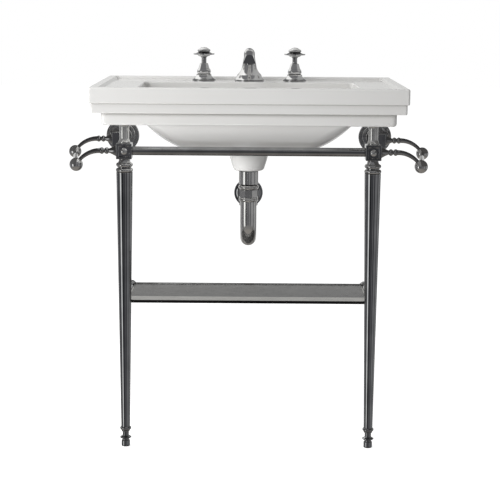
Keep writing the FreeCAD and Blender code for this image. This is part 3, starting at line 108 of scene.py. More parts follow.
class Graph:
    """A short way to lay out the nodes of one material or world."""

    def __init__(self, tree: bpy.types.NodeTree) -> None:
        """Start from an empty tree.

        Args:
            tree: The node tree to fill.
        """
        self.tree = tree
        tree.nodes.clear()

    def feed(self, node: bpy.types.Node, sockets: dict[str | int, object]) -> None:
        """Link or set a node's input sockets.

        Args:
            node: The node to feed.
            sockets: Other nodes' outputs or plain values, by the input's name or index.
        """
        for key, value in sockets.items():
            if isinstance(value, Socket):
                self.tree.links.new(value, node.inputs[key])
            else:
                node.inputs[key].default_value = value

    def node(self, kind: str, sockets: dict[str | int, object] | None = None,
             **settings: object) -> bpy.types.Node:
        """Add a node.

        Args:
            kind: The node's type without its ShaderNode prefix.
            sockets: What its input sockets get, by name or index.
            **settings: Attributes of the node itself.

        Returns:
            The new node.
        """
        made = self.tree.nodes.new(f"ShaderNode{kind}")
        for name, setting in settings.items():
            setattr(made, name, setting)
        self.feed(made, sockets or {})
        return made

    def part(self, vector: Socket, axis: Axis) -> Socket:
        """Return one part of a vector."""
        return self.node("SeparateXYZ", {0: vector}).outputs[axis.value]

    def sums(self, operation: str, *values: Socket | float) -> Socket:
        """Return the result of one Math operation."""
        return self.node("Math", dict(enumerate(values)), operation=operation).outputs[0]

    def noise(self, where: Socket, grain: Grain) -> Socket:
        """Return a noise's value at a place.

        Args:
            where: The coordinates to read the noise at.
            grain: The noise.

        Returns:
            Its value, mostly between 0.3 and 0.7.
        """
        if grain.stretch:
            stretched = self.node("Mapping", {"Vector": where, "Scale": grain.stretch})
            where = stretched.outputs["Vector"]
        made = self.node("TexNoise", {"Vector": where, "Scale": grain.scale, "Detail": grain.detail,
                                      "Roughness": grain.roughness})
        return made.outputs["Fac"]

    def spread(self, value: Socket, result: Span, source: Span = NOISE_SPAN) -> Socket:
        """Return a value mapped from one span to another, and held at its ends.

        Args:
            value: The value to map.
            result: What the start and the end of the source become.
            source: The span that the value comes from.

        Returns:
            The mapped value.
        """
        made = self.node("MapRange", {"Value": value, "From Min": source[0], "From Max": source[1],
                                      "To Min": result[0], "To Max": result[1]})
        return made.outputs["Result"]

    def openness(self, reach: float, own_only: bool) -> Socket:
        """Return how open the surface is to what stands near it, from 0 shut to 1 open.

        Args:
            reach: How near, in metres.
            own_only: Whether only the object's own surface counts.

        Returns:
            The openness.
        """
        made = self.node("AmbientOcclusion", {"Distance": reach}, samples=OCCLUSION_RAYS,
                         only_local=own_only)
        return made.outputs["AO"]

    def blend(self, share: Socket, first: Tone, second: Tone) -> Socket:
        """Return a colour between two.

        Args:
            share: How much of the second one there is, from 0 to 1.
            first: A plain colour, or another node's output.
            second: The same.

        Returns:
            The colour in between.
        """
        made = self.node("Mix", {"Factor": share}, data_type="RGBA")
        for index, tone in ((MIX_FIRST, first), (MIX_SECOND, second)):
            self.feed(made, {index: tone if isinstance(tone, Socket) else (*tone, 1.0)})
        return made.outputs[MIX_RESULT]

    def ring(self, share: Socket, cards: type[Enum]) -> Socket:
        """Return the tone of a ring of cards, with a soft step from each to the next.

        Args:
            share: The bearing, from 0 at -180 degrees to 1 at 180 degrees.
            cards: The cards in order, each with its start, end and tone.

        Returns:
            The tone at that bearing.
        """
        ramp = self.node("ValToRGB", {"Fac": share})
        stops = ramp.color_ramp.elements
        while len(stops) > 1:
            stops.remove(stops[0])
        edges = [(edge, card.value[2]) for card in cards for edge in card.value[:2]]
        for index, (edge, tone) in enumerate(edges):
            at = (edge + 180.0) / 360.0
            stop = stops.new(at) if index else stops[0]
            stop.position = at
            stop.color = (*tone, 1.0)
        return ramp.outputs["Color"]

    def bumps(self, *layers: tuple[Socket, Relief], under: Socket | None = None) -> Socket:
        """Return the normal of a surface with layers of relief.

        Args:
            *layers: Heights and how far each of them tilts the surface.
            under: The normal that they lie on, if it isn't the mesh's own.

        Returns:
            The normal.
        """
        normal = under
        for height, relief in layers:
            sockets = {"Height": height, "Strength": relief.strength, "Distance": relief.distance}
            if normal is not None:
                sockets["Normal"] = normal
            normal = self.node("Bump", sockets).outputs["Normal"]
        return normal


def new_material(name: str) -> tuple[bpy.types.Material, Graph]:
    """Return a new material and its empty graph.

    Args:
        name: The material's name.

    Returns:
        The material and the graph of its nodes.
    """
    made = bpy.data.materials.new(name)
    made.use_nodes = True
    return made, Graph(made.node_tree)


# ---------------------------------------------------------------- finishes
class Finish:
    """A surface finish, made into one material the first time that it is asked for."""

    title: str

    def material(self) -> bpy.types.Material:
        """Return the finish's material, and make it at the first call.

        Returns:
            The material.
        """
        found = bpy.data.materials.get(self.title)
        if found:
            return found
        made, graph = new_material(self.title)
        where = graph.node("TexCoord").outputs["Object"]
        shader = graph.node("BsdfPrincipled", self.sockets(graph, where))
        graph.node("OutputMaterial", {"Surface": shader.outputs["BSDF"]})
        return made

    def sockets(self, graph: Graph, where: Socket) -> dict[str, object]:
        """Lay the finish's nodes.

        Args:
            graph: The material's graph.
            where: Coordinates on the object, in metres.

        Returns:
            What the surface shader's sockets get, by name.
        """
        raise NotImplementedError


@dataclass(frozen=True)
class GlazedCeramic(Finish):
    """White fired glaze with slow waves and a faint orange peel, with painted shade darkening its
    creases.
    """

    title: str
    light: Colour = (0.83, 0.825, 0.81)
    deep: Colour = (0.80, 0.793, 0.775)
    crease_shade: Colour = (0.34, 0.325, 0.30)
    crease_shade_reach: float = 0.012
    crease_shade_span: Span = (0.36, 0.93)
    gloss: Span = (0.10, 0.13)
    refraction: float = 1.52
    coat: float = 0.4
    coat_roughness: float = 0.04
    clouds: Grain = Grain(4.0, 4.0)
    smears: Grain = Grain(26.0, 3.0)
    waves: Grain = Grain(7.0, 1.0)
    wave_relief: Relief = Relief(0.02, 0.004)
    peel: Grain = Grain(620.0, 1.0)
    peel_relief: Relief = Relief(0.015, 0.0002)

    def sockets(self, graph: Graph, where: Socket) -> dict[str, object]:
        """Lay the glaze's tone, painted crease shade, gloss and waves.

        Args:
            graph: The material's graph.
            where: Coordinates on the object, in metres.

        Returns:
            What the surface shader's sockets get, by name.
        """
        tone = graph.spread(graph.noise(where, self.clouds), WHOLE)
        # Painted shade: the glaze is darkened toward grey where its own surface closes in, in
        # creases and under the steps.
        openness = graph.openness(self.crease_shade_reach, own_only=True)
        crease_shading = graph.spread(openness, (1.0, 0.0), self.crease_shade_span)
        glaze = graph.blend(tone, self.deep, self.light)
        return {
            "Base Color": graph.blend(crease_shading, glaze, self.crease_shade),
            "Roughness": graph.spread(graph.noise(where, self.smears), self.gloss),
            "IOR": self.refraction,
            "Coat Weight": self.coat,
            "Coat Roughness": self.coat_roughness,
            "Normal": graph.bumps((graph.noise(where, self.waves), self.wave_relief),
                                  (graph.noise(where, self.peel), self.peel_relief)),
        }


@dataclass(frozen=True)
class BasinCeramic(GlazedCeramic):
    """The basin's glaze, which stops at the bare fired clay of its back."""

    title: str = "glazed_ceramic"
    clay: Colour = (0.70, 0.66, 0.59)
    clay_roughness: float = 0.8
    bare_from: float = 0.2485
    bare_edge: float = 0.0008
    grit: Grain = Grain(900.0, 4.0)
    grit_relief: Relief = Relief(0.4, 0.0006)

    def sockets(self, graph: Graph, where: Socket) -> dict[str, object]:
        """Lay the glaze, and the clay of the basin's back.

        Args:
            graph: The material's graph.
            where: Coordinates on the object, in metres.

        Returns:
            What the surface shader's sockets get, by name.
        """
        laid = super().sockets(graph, where)
        bare = graph.spread(graph.part(where, Axis.Y), WHOLE,
                            (self.bare_from, self.bare_from + self.bare_edge))
        dry = graph.sums("MULTIPLY", bare, self.clay_roughness)
        grit = graph.sums("MULTIPLY", graph.noise(where, self.grit), bare)
        laid["Base Color"] = graph.blend(bare, laid["Base Color"], self.clay)
        laid["Roughness"] = graph.sums("MAXIMUM", laid["Roughness"], dry)
        laid["Coat Weight"] = graph.sums("MULTIPLY", graph.sums("SUBTRACT", 1.0, bare), self.coat)
        laid["Normal"] = graph.bumps((grit, self.grit_relief), under=laid["Normal"])
        return laid


@dataclass(frozen=True)
class PolishedChrome(Finish):
    """Bright plated metal with wipe marks and a little haze, with painted shade darkening its
    grooves and where other parts stand close.

    A slow swell under the plating breaks up what it mirrors.
    """

    title: str = "polished_chrome"
    bright: Colour = (0.52, 0.525, 0.535)
    dull: Colour = (0.38, 0.385, 0.395)
    metal: float = 1.0
    haze: Span = (0.022, 0.075)
    haze_span: Span = (0.35, 0.75)
    groove_shade: Colour = (0.045, 0.044, 0.043)
    groove_shade_depth: float = 0.9
    groove_shade_reach: float = 0.006
    groove_shade_span: Span = (0.36, 0.88)
    clouds: Grain = Grain(22.0, 5.0)
    smears: Grain = Grain(75.0, 6.0, 0.62)
    swell: Grain = Grain(45.0, 1.0)
    swell_relief: Relief = Relief(0.10, 0.0008)
    wipes: Grain = Grain(1.0, 2.0, stretch=(900.0, 900.0, 60.0))
    wipe_relief: Relief = Relief(0.03, 0.00008)

    def sockets(self, graph: Graph, where: Socket) -> dict[str, object]:
        """Lay the plating's colour, haze, swell and wipe marks.

        Args:
            graph: The material's graph.
            where: Coordinates on the object, in metres.

        Returns:
            What the surface shader's sockets get, by name.
        """
        return {
            "Base Color": self.plating(graph, where),
            "Metallic": self.metal,
            "Roughness": graph.spread(graph.noise(where, self.smears), self.haze, self.haze_span),
            "Normal": graph.bumps((graph.noise(where, self.swell), self.swell_relief),
                                  (graph.noise(where, self.wipes), self.wipe_relief)),
        }

    def plating(self, graph: Graph, where: Socket) -> Socket:
        """Lay the plating's colour, with painted shade in its grooves.

        Args:
            graph: The material's graph.
            where: Coordinates on the object, in metres.

        Returns:
            The colour.
        """
        tone = graph.spread(graph.noise(where, self.clouds), WHOLE)
        # Painted shade: the plating is darkened toward near black where its grooves or nearby parts
        # close in round it.
        openness = graph.openness(self.groove_shade_reach, own_only=False)
        groove_shading = graph.spread(openness, (self.groove_shade_depth, 0.0), self.groove_shade_span)
        return graph.blend(groove_shading, graph.blend(tone, self.dull, self.bright), self.groove_shade)


@dataclass(frozen=True)
class FlatBar(PolishedChrome):
    """Flat plated bar, polished on its faces, with a painted dark reflection on its upright edges.
    """

    title: str = "polished_flat_bar"
    bright: Colour = (0.63, 0.62, 0.59)
    dull: Colour = (0.54, 0.53, 0.50)
    haze: Span = (0.10, 0.22)
    edge_reflection: Colour = (0.085, 0.082, 0.078)
    edge_reflection_span: Span = (0.2, 0.6)

    def plating(self, graph: Graph, where: Socket) -> Socket:
        """Lay the plating's colour, with a painted dark reflection where a face stands upright.

        Args:
            graph: The material's graph.
            where: Coordinates on the object, in metres.

        Returns:
            The colour.
        """
        # Painted dark reflection: faces that stand upright are darkened toward near black, standing
        # in for the darkness that they mirror.
        faces = graph.node("NewGeometry").outputs["True Normal"]
        level = graph.sums("ABSOLUTE", graph.part(faces, Axis.Z))
        edge = graph.spread(level, (1.0, 0.0), self.edge_reflection_span)
        return graph.blend(edge, super().plating(graph, where), self.edge_reflection)


@dataclass(frozen=True)
class DrawnTube(PolishedChrome):
    """Plated drawn tube of the waste and the trap: painted lighter than the other plating to stand
    in for the light it catches, a little less metallic, and with more haze.
    """

    title: str = "brightened_drawn_tube"
    # Painted light: these tones are lighter than the other plating's, standing in for the light
    # that the tube catches.
    bright: Colour = (0.88, 0.875, 0.865)
    dull: Colour = (0.72, 0.715, 0.705)
    metal: float = 0.92
    haze: Span = (0.07, 0.15)
    swell: Grain = Grain(60.0, 1.0)


@dataclass(frozen=True)
class DarkPanel(Finish):
    """Dark glossy shelf panel with dust and fine rubbing marks."""

    title: str = "dark_panel"
    body: Colour = (0.028, 0.026, 0.024)
    dusty: Colour = (0.060, 0.057, 0.052)
    gloss: Span = (0.09, 0.20)
    refraction: float = 1.5
    coat: float = 0.05
    coat_roughness: float = 0.06
    dust: Grain = Grain(38.0, 8.0, 0.66)
    dust_span: Span = (0.48, 0.78)
    smears: Grain = Grain(60.0, 5.0)
    rubs: Grain = Grain(1.0, 2.0, stretch=(40.0, 700.0, 700.0))
    rub_relief: Relief = Relief(0.03, 0.0001)

    def sockets(self, graph: Graph, where: Socket) -> dict[str, object]:
        """Lay the panel's depth, dust and gloss.

        Args:
            graph: The material's graph.
            where: Coordinates on the object, in metres.

        Returns:
            What the surface shader's sockets get, by name.
        """
        dust = graph.spread(graph.noise(where, self.dust), WHOLE, self.dust_span)
        return {
            "Base Color": graph.blend(dust, self.body, self.dusty),
            "Roughness": graph.spread(graph.noise(where, self.smears), self.gloss),
            "IOR": self.refraction,
            "Coat Weight": self.coat,
            "Coat Roughness": self.coat_roughness,
            "Normal": graph.bumps((graph.noise(where, self.rubs), self.rub_relief)),
        }


@dataclass(frozen=True)
class BlackRubber(Finish):
    """Matt black rubber with a pale bloom."""

    title: str = "black_rubber"
    body: Colour = (0.022, 0.022, 0.022)
    worn: Colour = (0.055, 0.054, 0.052)
    matt: Span = (0.55, 0.8)
    bloom: Grain = Grain(160.0, 5.0)
    bloom_span: Span = (0.4, 0.8)
    skin: Grain = Grain(1800.0, 2.0)
    skin_relief: Relief = Relief(0.2, 0.0001)

    def sockets(self, graph: Graph, where: Socket) -> dict[str, object]:
        """Lay the rubber's tone and fine grain.

        Args:
            graph: The material's graph.
            where: Coordinates on the object, in metres.

        Returns:
            What the surface shader's sockets get, by name.
        """
        bloom = graph.spread(graph.noise(where, self.bloom), WHOLE, self.bloom_span)
        return {
            "Base Color": graph.blend(bloom, self.body, self.worn),
            "Roughness": graph.spread(bloom, self.matt, WHOLE),
            "Normal": graph.bumps((graph.noise(where, self.skin), self.skin_relief)),
        }


@dataclass(frozen=True)
class TurnedBrass(Finish):
    """Lathe-turned brass with tool marks across its axis and dull patches."""

    title: str = "turned_brass"
    bright: Colour = (0.72, 0.53, 0.24)
    dull: Colour = (0.38, 0.26, 0.12)
    gloss: Span = (0.42, 0.22)
    patches: Grain = Grain(110.0, 6.0)
    marks: Grain = Grain(1.0, 1.0, stretch=(20.0, 20.0, 2600.0))
    mark_relief: Relief = Relief(0.12, 0.0001)

    def sockets(self, graph: Graph, where: Socket) -> dict[str, object]:
        """Lay the brass's patches and tool marks.

        Args:
            graph: The material's graph.
            where: Coordinates on the object, in metres.

        Returns:
            What the surface shader's sockets get, by name.
        """
        patches = graph.spread(graph.noise(where, self.patches), WHOLE)
        return {
            "Base Color": graph.blend(patches, self.dull, self.bright),
            "Metallic": 1.0,
            "Roughness": graph.spread(patches, self.gloss, WHOLE),
            "Normal": graph.bumps((graph.noise(where, self.marks), self.mark_relief)),
        }


CERAMIC = BasinCeramic()
INDEX_CERAMIC = GlazedCeramic(
    "index_ceramic", light=(0.74, 0.74, 0.73), deep=(0.66, 0.66, 0.65),
    waves=Grain(60.0, 1.0), peel=Grain(900.0, 1.0))
CHROME = PolishedChrome()
# Painted light: a copy of the plating with lighter tones, standing in for the light that the taps
# and spout catch.
BRIGHTENED_TAP_CHROME = PolishedChrome(
    "brightened_tap_chrome", bright=(0.82, 0.82, 0.82), dull=(0.62, 0.62, 0.62),
    swell=Grain(110.0, 1.0), swell_relief=Relief(0.16, 0.0008))
# Painted light: a copy of the plating with lighter tones, standing in for the light that the balls,
# rosettes, buttons and collars catch.
BRIGHTENED_TURNED_CHROME = PolishedChrome(
    "brightened_turned_chrome", bright=(0.80, 0.80, 0.80), dull=(0.60, 0.60, 0.60), metal=0.96,
    swell=Grain(110.0, 1.0), swell_relief=Relief(0.36, 0.0008))
# Painted light: a copy of the plating with lighter tones and less metal, standing in for the light
# that the basin's posts catch.
BRIGHTENED_POST_CHROME = PolishedChrome(
    "brightened_post_chrome", bright=(0.84, 0.84, 0.83), dull=(0.66, 0.66, 0.65), metal=0.82,
    swell=Grain(120.0, 1.0), swell_relief=Relief(0.30, 0.0008))
FLAT_BAR = FlatBar()
BRIGHTENED_DRAWN_TUBE = DrawnTube()
PANEL = DarkPanel()
RUBBER = BlackRubber()
BRASS = TurnedBrass()


class Slot(Enum):
    """Two of the record's material slots, by name; no piece here is given them."""

    CHROME = "chrome"
    BRASS = "brass"


# ---------------------------------------------------------------- meshes
def both(*names: str) -> list[str]:
    """Return the left and the right node of each name."""
    return [f"{name}_{side}" for name in names for side in SIDES]


def axis_of(node: str) -> tuple[float, float]:
    """Return the place of a turned node's upright axis, across and back."""
    low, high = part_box(node)
    return (low[0] + high[0]) / 2.0, (low[1] + high[1]) / 2.0


def stitch(mesh: Mesh, rings: Sequence[Sequence[bmesh.types.BMVert]]) -> None:
    """Join rings of points into a closed skin with a face at each end.

    Args:
        mesh: The mesh that the points are in.
        rings: The rings in order, each with as many points.
    """
    for first, second in zip(rings, rings[1:]):
        for index in range(len(first)):
            after = (index + 1) % len(first)
            mesh.faces.new((first[index], first[after], second[after], second[index]))
    mesh.faces.new(rings[0][::-1])
    mesh.faces.new(rings[-1])


def tube(mesh: Mesh, path: Sequence[Vector], radius: float, sides: int, across: Vector) -> None:
    """Add a closed tube along a path.

    Args:
        mesh: The mesh to add to.
        path: The points of its axis.
        radius: The tube's radius.
        sides: How many sides it has.
        across: A direction that the path never takes.
    """
    turns = [math.tau * side / sides for side in range(sides)]
    rings = []
    for index, point in enumerate(path):
        along = (path[min(index + 1, len(path) - 1)] - path[max(index - 1, 0)]).normalized()
        wide = along.cross(across).normalized()
        high = wide.cross(along)
        rings.append([
            mesh.verts.new(point + radius * (math.cos(turn) * wide + math.sin(turn) * high))
            for turn in turns])
    stitch(mesh, rings)


def piece(name: str, mesh: Mesh, finish: Finish, body: str) -> None:
    """Turn a finished mesh into a piece that rides on a body.

    Args:
        name: The piece's name.
        mesh: Its mesh, which is freed here.
        finish: Its finish.
        body: The body that it moves with.
    """
    data = bpy.data.meshes.new(name)
    bmesh.ops.recalc_face_normals(mesh, faces=mesh.faces)
    mesh.to_mesh(data)
    mesh.free()
    for face in data.polygons:
        face.use_smooth = True
    made = bpy.data.objects.new(name, data)
    bpy.context.scene.collection.objects.link(made)
    data.materials.append(finish.material())
    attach(made, body)
    LOG.info("made %s with %d faces", name, len(data.polygons))


@dataclass(frozen=True)
class Thread:
    """The rolled ridge of a screw thread on an upright stem, running out at both ends.

    The solids are plain cylinders there, so the ridge stands a little proud of them. Crest
    and flank are half widths, as shares of the pitch.
    """

    foot: float
    top: float
    stem: float
    pitch: float
    rise: float
    bite: float = 0.00005
    crest: float = 0.10
    flank: float = 0.44
    steps_in_turn: int = 48

    def mesh(self, centre: tuple[float, float]) -> Mesh:
        """Return the ridge round a stem's axis.

        Args:
            centre: The axis's place, across and back.

        Returns:
            The ridge's mesh.
        """
        made = bmesh.new()
        turns = (self.top - self.foot) / self.pitch - 1.0
        steps = int(turns * self.steps_in_turn)
        run_out = self.steps_in_turn // 2
        sections = []
        for step in range(steps + 1):
            angle = math.tau * step / self.steps_in_turn
            height = self.foot + self.pitch * (0.5 + step / self.steps_in_turn)
            fade = min(1.0, (step + 1) / run_out, (steps - step + 1) / run_out)
            inner, outer = self.stem - self.bite, self.stem + self.rise * fade
            section = ((inner, -self.flank), (outer, -self.crest),
                       (outer, self.crest), (inner, self.flank))
            sections.append([
                made.verts.new((centre[0] + reach * math.cos(angle),
                                centre[1] + reach * math.sin(angle),
                                height + share * self.pitch))
                for reach, share in section])
        stitch(made, sections)
        return made


# ---------------------------------------------------------------- sub-assemblies
@dataclass
class Assembly:
    """A sub-assembly of the part: its solids, and what is added to them."""

    nodes: Nodes

    def build(self) -> None:
        """Dress the solids and add the pieces."""
        raise NotImplementedError

    def dress(self, finish: Finish, *names: str) -> None:
        """Give solids a finish.

        Args:
            finish: The finish.
            *names: The solids' nodes.
        """
        for name in names:
            for place in self.nodes[name].material_slots:
                place.material = finish.material()
            LOG.info("dressed %s in %s", name, finish.title)


@dataclass
class Basin(Assembly):
    """The ceramic basin."""

    def build(self) -> None:
        """Dress the ceramic."""
        self.dress(CERAMIC, "basin")


@dataclass
class Washstand(Assembly):
    """Legs, blocks, arms, side rods and rear rosettes."""

    foot_thread: Thread = Thread(foot=0.0268, top=0.0366, stem=0.00775, pitch=0.0014, rise=0.00012)

    def build(self) -> None:
        """Dress the plated metal and the rubber pads, and cut the feet's threads."""
        self.dress(CHROME, *both("corner_block", "leg", "levelling_foot", "rear_block"),
                   *both("front_arm", "rear_arm", "towel_rod"),
                   "front_bar", "foot_ferrules", "wall_posts")
        self.dress(BRIGHTENED_TURNED_CHROME, *both("rail_balls", "wall_rosette"),
                   "block_buttons", "leg_collars")
        self.dress(BRIGHTENED_POST_CHROME, *both("basin_support"))
        self.dress(RUBBER, "support_pads")
        for side in SIDES:
            ridge = self.foot_thread.mesh(axis_of(f"levelling_foot_{side}"))
            piece(f"foot_thread_{side}", ridge, CHROME, f"{side}_foot")


@dataclass
class Shelf(Assembly):
    """The low shelf between the legs."""

    def build(self) -> None:
        """Dress the shelf's frame, rods and panel."""
        self.dress(FLAT_BAR, "shelf_frame")
        self.dress(CHROME, "shelf_rear_rail", "shelf_knobs", *both("shelf_side_rod"))
        self.dress(PANEL, "shelf_panel")


@dataclass
class Plumbing(Assembly):
    """The waste, the trap and the pipe out at the back."""

    def build(self) -> None:
        """Dress the waste and the trap."""
        self.dress(CHROME, "waste_plug", "trap_wall_flange")
        self.dress(BRIGHTENED_DRAWN_TUBE, "waste_body", "waste_sleeve", "trap_nut", "trap_bend", "trap_union_nut",
                   "outlet_pipe")
        self.dress(RUBBER, "waste_seal")


@dataclass
class Taps(Assembly):
    """Two pillar taps, the spout between them and their fixings under the deck."""

    shank_thread: Thread = Thread(foot=0.7903, top=0.8117, stem=0.01045, pitch=0.0018, rise=0.00040)
    screen_height: float = 0.0022
    screen_radius: float = 0.00795
    screen_gap: float = 0.00105
    wire_radius: float = 0.00016
    wire_sides: int = 6
    knots_in_gap: int = 4

    def build(self) -> None:
        """Dress the taps, the spout and their fixings, and add the threads and the screen."""
        self.dress(BRIGHTENED_TAP_CHROME, *both("tap_valve", "tap_spindle", "tap_handle"), "tap_flanges",
                   "tap_bonnets", "spout", "spout_flange", "aerator", "link_pipes")
        self.dress(INDEX_CERAMIC, *both("tap_index"))
        self.dress(BRASS, "deck_nuts")
        self.dress(RUBBER, "deck_washers")
        for side in SIDES:
            ridge = self.shank_thread.mesh(axis_of(f"tap_spindle_{side}"))
            piece(f"shank_thread_{side}", ridge, BRASS, "stand")
        piece("aerator_screen", self.screen(), BRIGHTENED_DRAWN_TUBE, "stand")

    def screen(self) -> Mesh:
        """Return the woven screen in the spout's mouth.

        Returns:
            The screen's mesh.
        """
        made = bmesh.new()
        across, back = axis_of("aerator")
        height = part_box("aerator")[0][2] + self.screen_height
        rows = int(self.screen_radius / self.screen_gap)
        for row in range(-rows, rows + 1):
            for turned in (False, True):
                path = self.wire_path((across, back, height), row, turned)
                tube(made, path, self.wire_radius, self.wire_sides, Vector((0.0, 0.0, 1.0)))
        return made

    def wire_path(self, centre: Point, row: int, turned: bool) -> list[Vector]:
        """Return the axis of one wire, which goes over and under those that cross it.

        Args:
            centre: The middle of the screen.
            row: Its place in the weave, from 0 at the middle.
            turned: Whether it runs from front to back.

        Returns:
            The points of its axis.
        """
        across, back, height = centre
        offset = row * self.screen_gap
        half = math.sqrt(self.screen_radius ** 2 - offset ** 2)
        knots = int(2.0 * half / (self.screen_gap / self.knots_in_gap))
        lift = self.wire_radius if (row % 2 == 0) == turned else -self.wire_radius
        path = []
        for knot in range(knots + 1):
            along = -half + 2.0 * half * knot / knots
            wave = lift * math.cos(math.pi * along / self.screen_gap)
            x, y = (offset, along) if turned else (along, offset)
            path.append(Vector((across + x, back + y, height + wave)))
        return path


# ---------------------------------------------------------------- studio
class Sector(Enum):
    """Cards round the object, by bearing from its front: start, end, brightness."""

    BACK_LEFT = (-180.0, -150.0, (0.70, 0.70, 0.69))
    LEFT_WALL = (-140.0, -112.0, (0.28, 0.28, 0.285))
    LEFT_DARK = (-106.0, -67.0, (0.115, 0.115, 0.12))
    SOFTBOX = (-60.0, -48.0, (1.25, 1.25, 1.23))
    DARK_FLAG = (-41.0, -22.0, (0.024, 0.025, 0.028))
    FRONT_LEFT = (-18.0, -6.0, (0.10, 0.10, 0.107))
    FRONT = (-3.0, 7.0, (0.062, 0.063, 0.068))
    FRONT_CARD = (10.0, 18.0, (0.22, 0.22, 0.225))
    FRONT_FLAG = (22.0, 33.0, (0.060, 0.061, 0.066))
    FRONT_RIGHT = (39.0, 68.0, (0.25, 0.25, 0.255))
    RIGHT_FLAG = (73.0, 85.0, (0.11, 0.11, 0.115))
    RIGHT_CARD = (92.0, 108.0, (0.36, 0.36, 0.36))
    RIGHT_DARK = (115.0, 142.0, (0.18, 0.18, 0.185))
    BACK_RIGHT = (151.0, 180.0, (0.68, 0.68, 0.67))


class Canopy(Enum):
    """Cards over the sectors, which cones and domes mirror: start, end, brightness."""

    BACK = (-180.0, -166.0, (0.16, 0.16, 0.165))
    LEFT = (-150.0, -96.0, (1.15, 1.15, 1.13))
    FRONT = (-82.0, 54.0, (0.19, 0.19, 0.195))
    RIGHT = (68.0, 148.0, (0.44, 0.44, 0.435))
    BACK_END = (164.0, 180.0, (0.16, 0.16, 0.165))


def surround(name: str, mesh: Mesh, material: bpy.types.Material,
             unseen_by: Sequence[str]) -> bpy.types.Object:
    """Put up a thing that stands round the object.

    Args:
        name: Its name.
        mesh: Its mesh, which is freed here.
        material: Its material.
        unseen_by: The kinds of ray that pass through it.

    Returns:
        The new object.
    """
    data = bpy.data.meshes.new(name)
    mesh.to_mesh(data)
    mesh.free()
    data.materials.append(material)
    made = bpy.data.objects.new(name, data)
    bpy.context.scene.collection.objects.link(made)
    for ray in unseen_by:
        setattr(made, f"visible_{ray}", False)
    return made


@dataclass(frozen=True)
class Viewpoint:
    """The photograph's viewing angle, in metres, degrees and millimetres of lens."""

    place: Point = (0.0, -3.4734, 1.0757)
    pitch: float = 7.6545
    roll: float = 0.4
    lens: float = 102.65
    shift_x: float = 0.003
    shift_y: float = -0.12
    near: float = 0.05
    far: float = 100.0

    def build(self) -> None:
        """Place the camera."""
        data = bpy.data.cameras.new("camera")
        data.lens = self.lens
        data.shift_x = self.shift_x
        data.shift_y = self.shift_y
        data.clip_start = self.near
        data.clip_end = self.far
        camera = bpy.data.objects.new("camera", data)
        tilt = Matrix.Rotation(math.radians(90.0 - self.pitch), 4, "X")
        turn = tilt @ Matrix.Rotation(math.radians(self.roll), 4, "Z")
        camera.matrix_world = Matrix.Translation(Vector(self.place)) @ turn
        bpy.context.scene.collection.objects.link(camera)
        bpy.context.scene.camera = camera


@dataclass(frozen=True)
class PaleFloor:
    """The plain pale floor, which glows enough to run out into the backdrop."""

    half: float = 14.0
    tone: Colour = (0.90, 0.90, 0.895)
    glow: float = 0.74

    def build(self) -> None:
        """Lay the floor."""
        mesh = bmesh.new()
        bmesh.ops.create_grid(mesh, x_segments=1, y_segments=1, size=self.half)
        material, graph = new_material("pale_floor")
        matt = graph.node("BsdfDiffuse", {"Color": (*self.tone, 1.0)})
        glow = graph.node("Emission", {"Color": (1.0, 1.0, 1.0, 1.0), "Strength": self.glow})
        shader = graph.node("AddShader", {0: matt.outputs[0], 1: glow.outputs[0]})
        graph.node("OutputMaterial", {"Surface": shader.outputs[0]})
        floor = surround("floor", mesh, material, ("glossy", "diffuse"))


@dataclass(frozen=True)
class SoftFill:
    """Soft light from all round, and the white backdrop that the camera sees."""

    tone: Colour = (1.0, 1.0, 1.0)
    fill: float = 0.36
    backdrop: float = 1.0

    def build(self) -> None:
        """Light the object from all round."""
        world = bpy.data.worlds.new("room")
        world.use_nodes = True
        graph = Graph(world.node_tree)
        seen = graph.node("LightPath").outputs["Is Camera Ray"]
        strength = graph.spread(seen, (self.fill, self.backdrop), WHOLE)
        light = graph.node("Background", {"Color": (*self.tone, 1.0), "Strength": strength})
        graph.node("OutputWorld", {"Surface": light.outputs[0]})
        bpy.context.scene.world = world


@dataclass(frozen=True)
class CardDome:
    """The dome of cards that only mirrors see.

    Heights are shares of its radius, from -1 straight down to 1 straight up.
    """

    radius: float = 9.0
    segments: int = 64
    rings: int = 32
    canopy_from: Span = (0.20, 0.34)
    top_glow: Colour = (0.34, 0.34, 0.34)
    top_from: Span = (0.93, 0.985)
    knee_glow: Colour = (0.17, 0.166, 0.16)
    knee_from: Span = (-0.30, -0.42)
    low_glow: Colour = (0.25, 0.232, 0.212)
    low_from: Span = (-0.52, -0.66)

    def build(self) -> None:
        """Raise the dome."""
        mesh = bmesh.new()
        bmesh.ops.create_uvsphere(mesh, u_segments=self.segments, v_segments=self.rings,
                                  radius=self.radius)
        material, graph = new_material("studio_cards")
        glow = graph.node("Emission", {"Color": self.cards(graph), "Strength": 1.0})
        graph.node("OutputMaterial", {"Surface": glow.outputs[0]})
        dome = surround("card_dome", mesh, material, ALL_BUT_MIRRORS)

    def cards(self, graph: Graph) -> Socket:
        """Lay the cards out by bearing and height.

        Args:
            graph: The dome's graph.

        Returns:
            The cards' tone.
        """
        where = graph.node("TexCoord").outputs["Object"]
        front = graph.sums("MULTIPLY", graph.part(where, Axis.Y), -1.0)
        bearing = graph.sums("ARCTAN2", graph.part(where, Axis.X), front)
        share = graph.spread(bearing, WHOLE, (-math.pi, math.pi))
        height = graph.sums("DIVIDE", graph.part(where, Axis.Z), self.radius)
        raised = graph.spread(height, WHOLE, self.canopy_from)
        tone = graph.blend(raised, graph.ring(share, Sector), graph.ring(share, Canopy))
        for glow, start in ((self.top_glow, self.top_from), (self.knee_glow, self.knee_from),
                            (self.low_glow, self.low_from)):
            tone = graph.blend(graph.spread(height, WHOLE, start), tone, glow)
        return tone


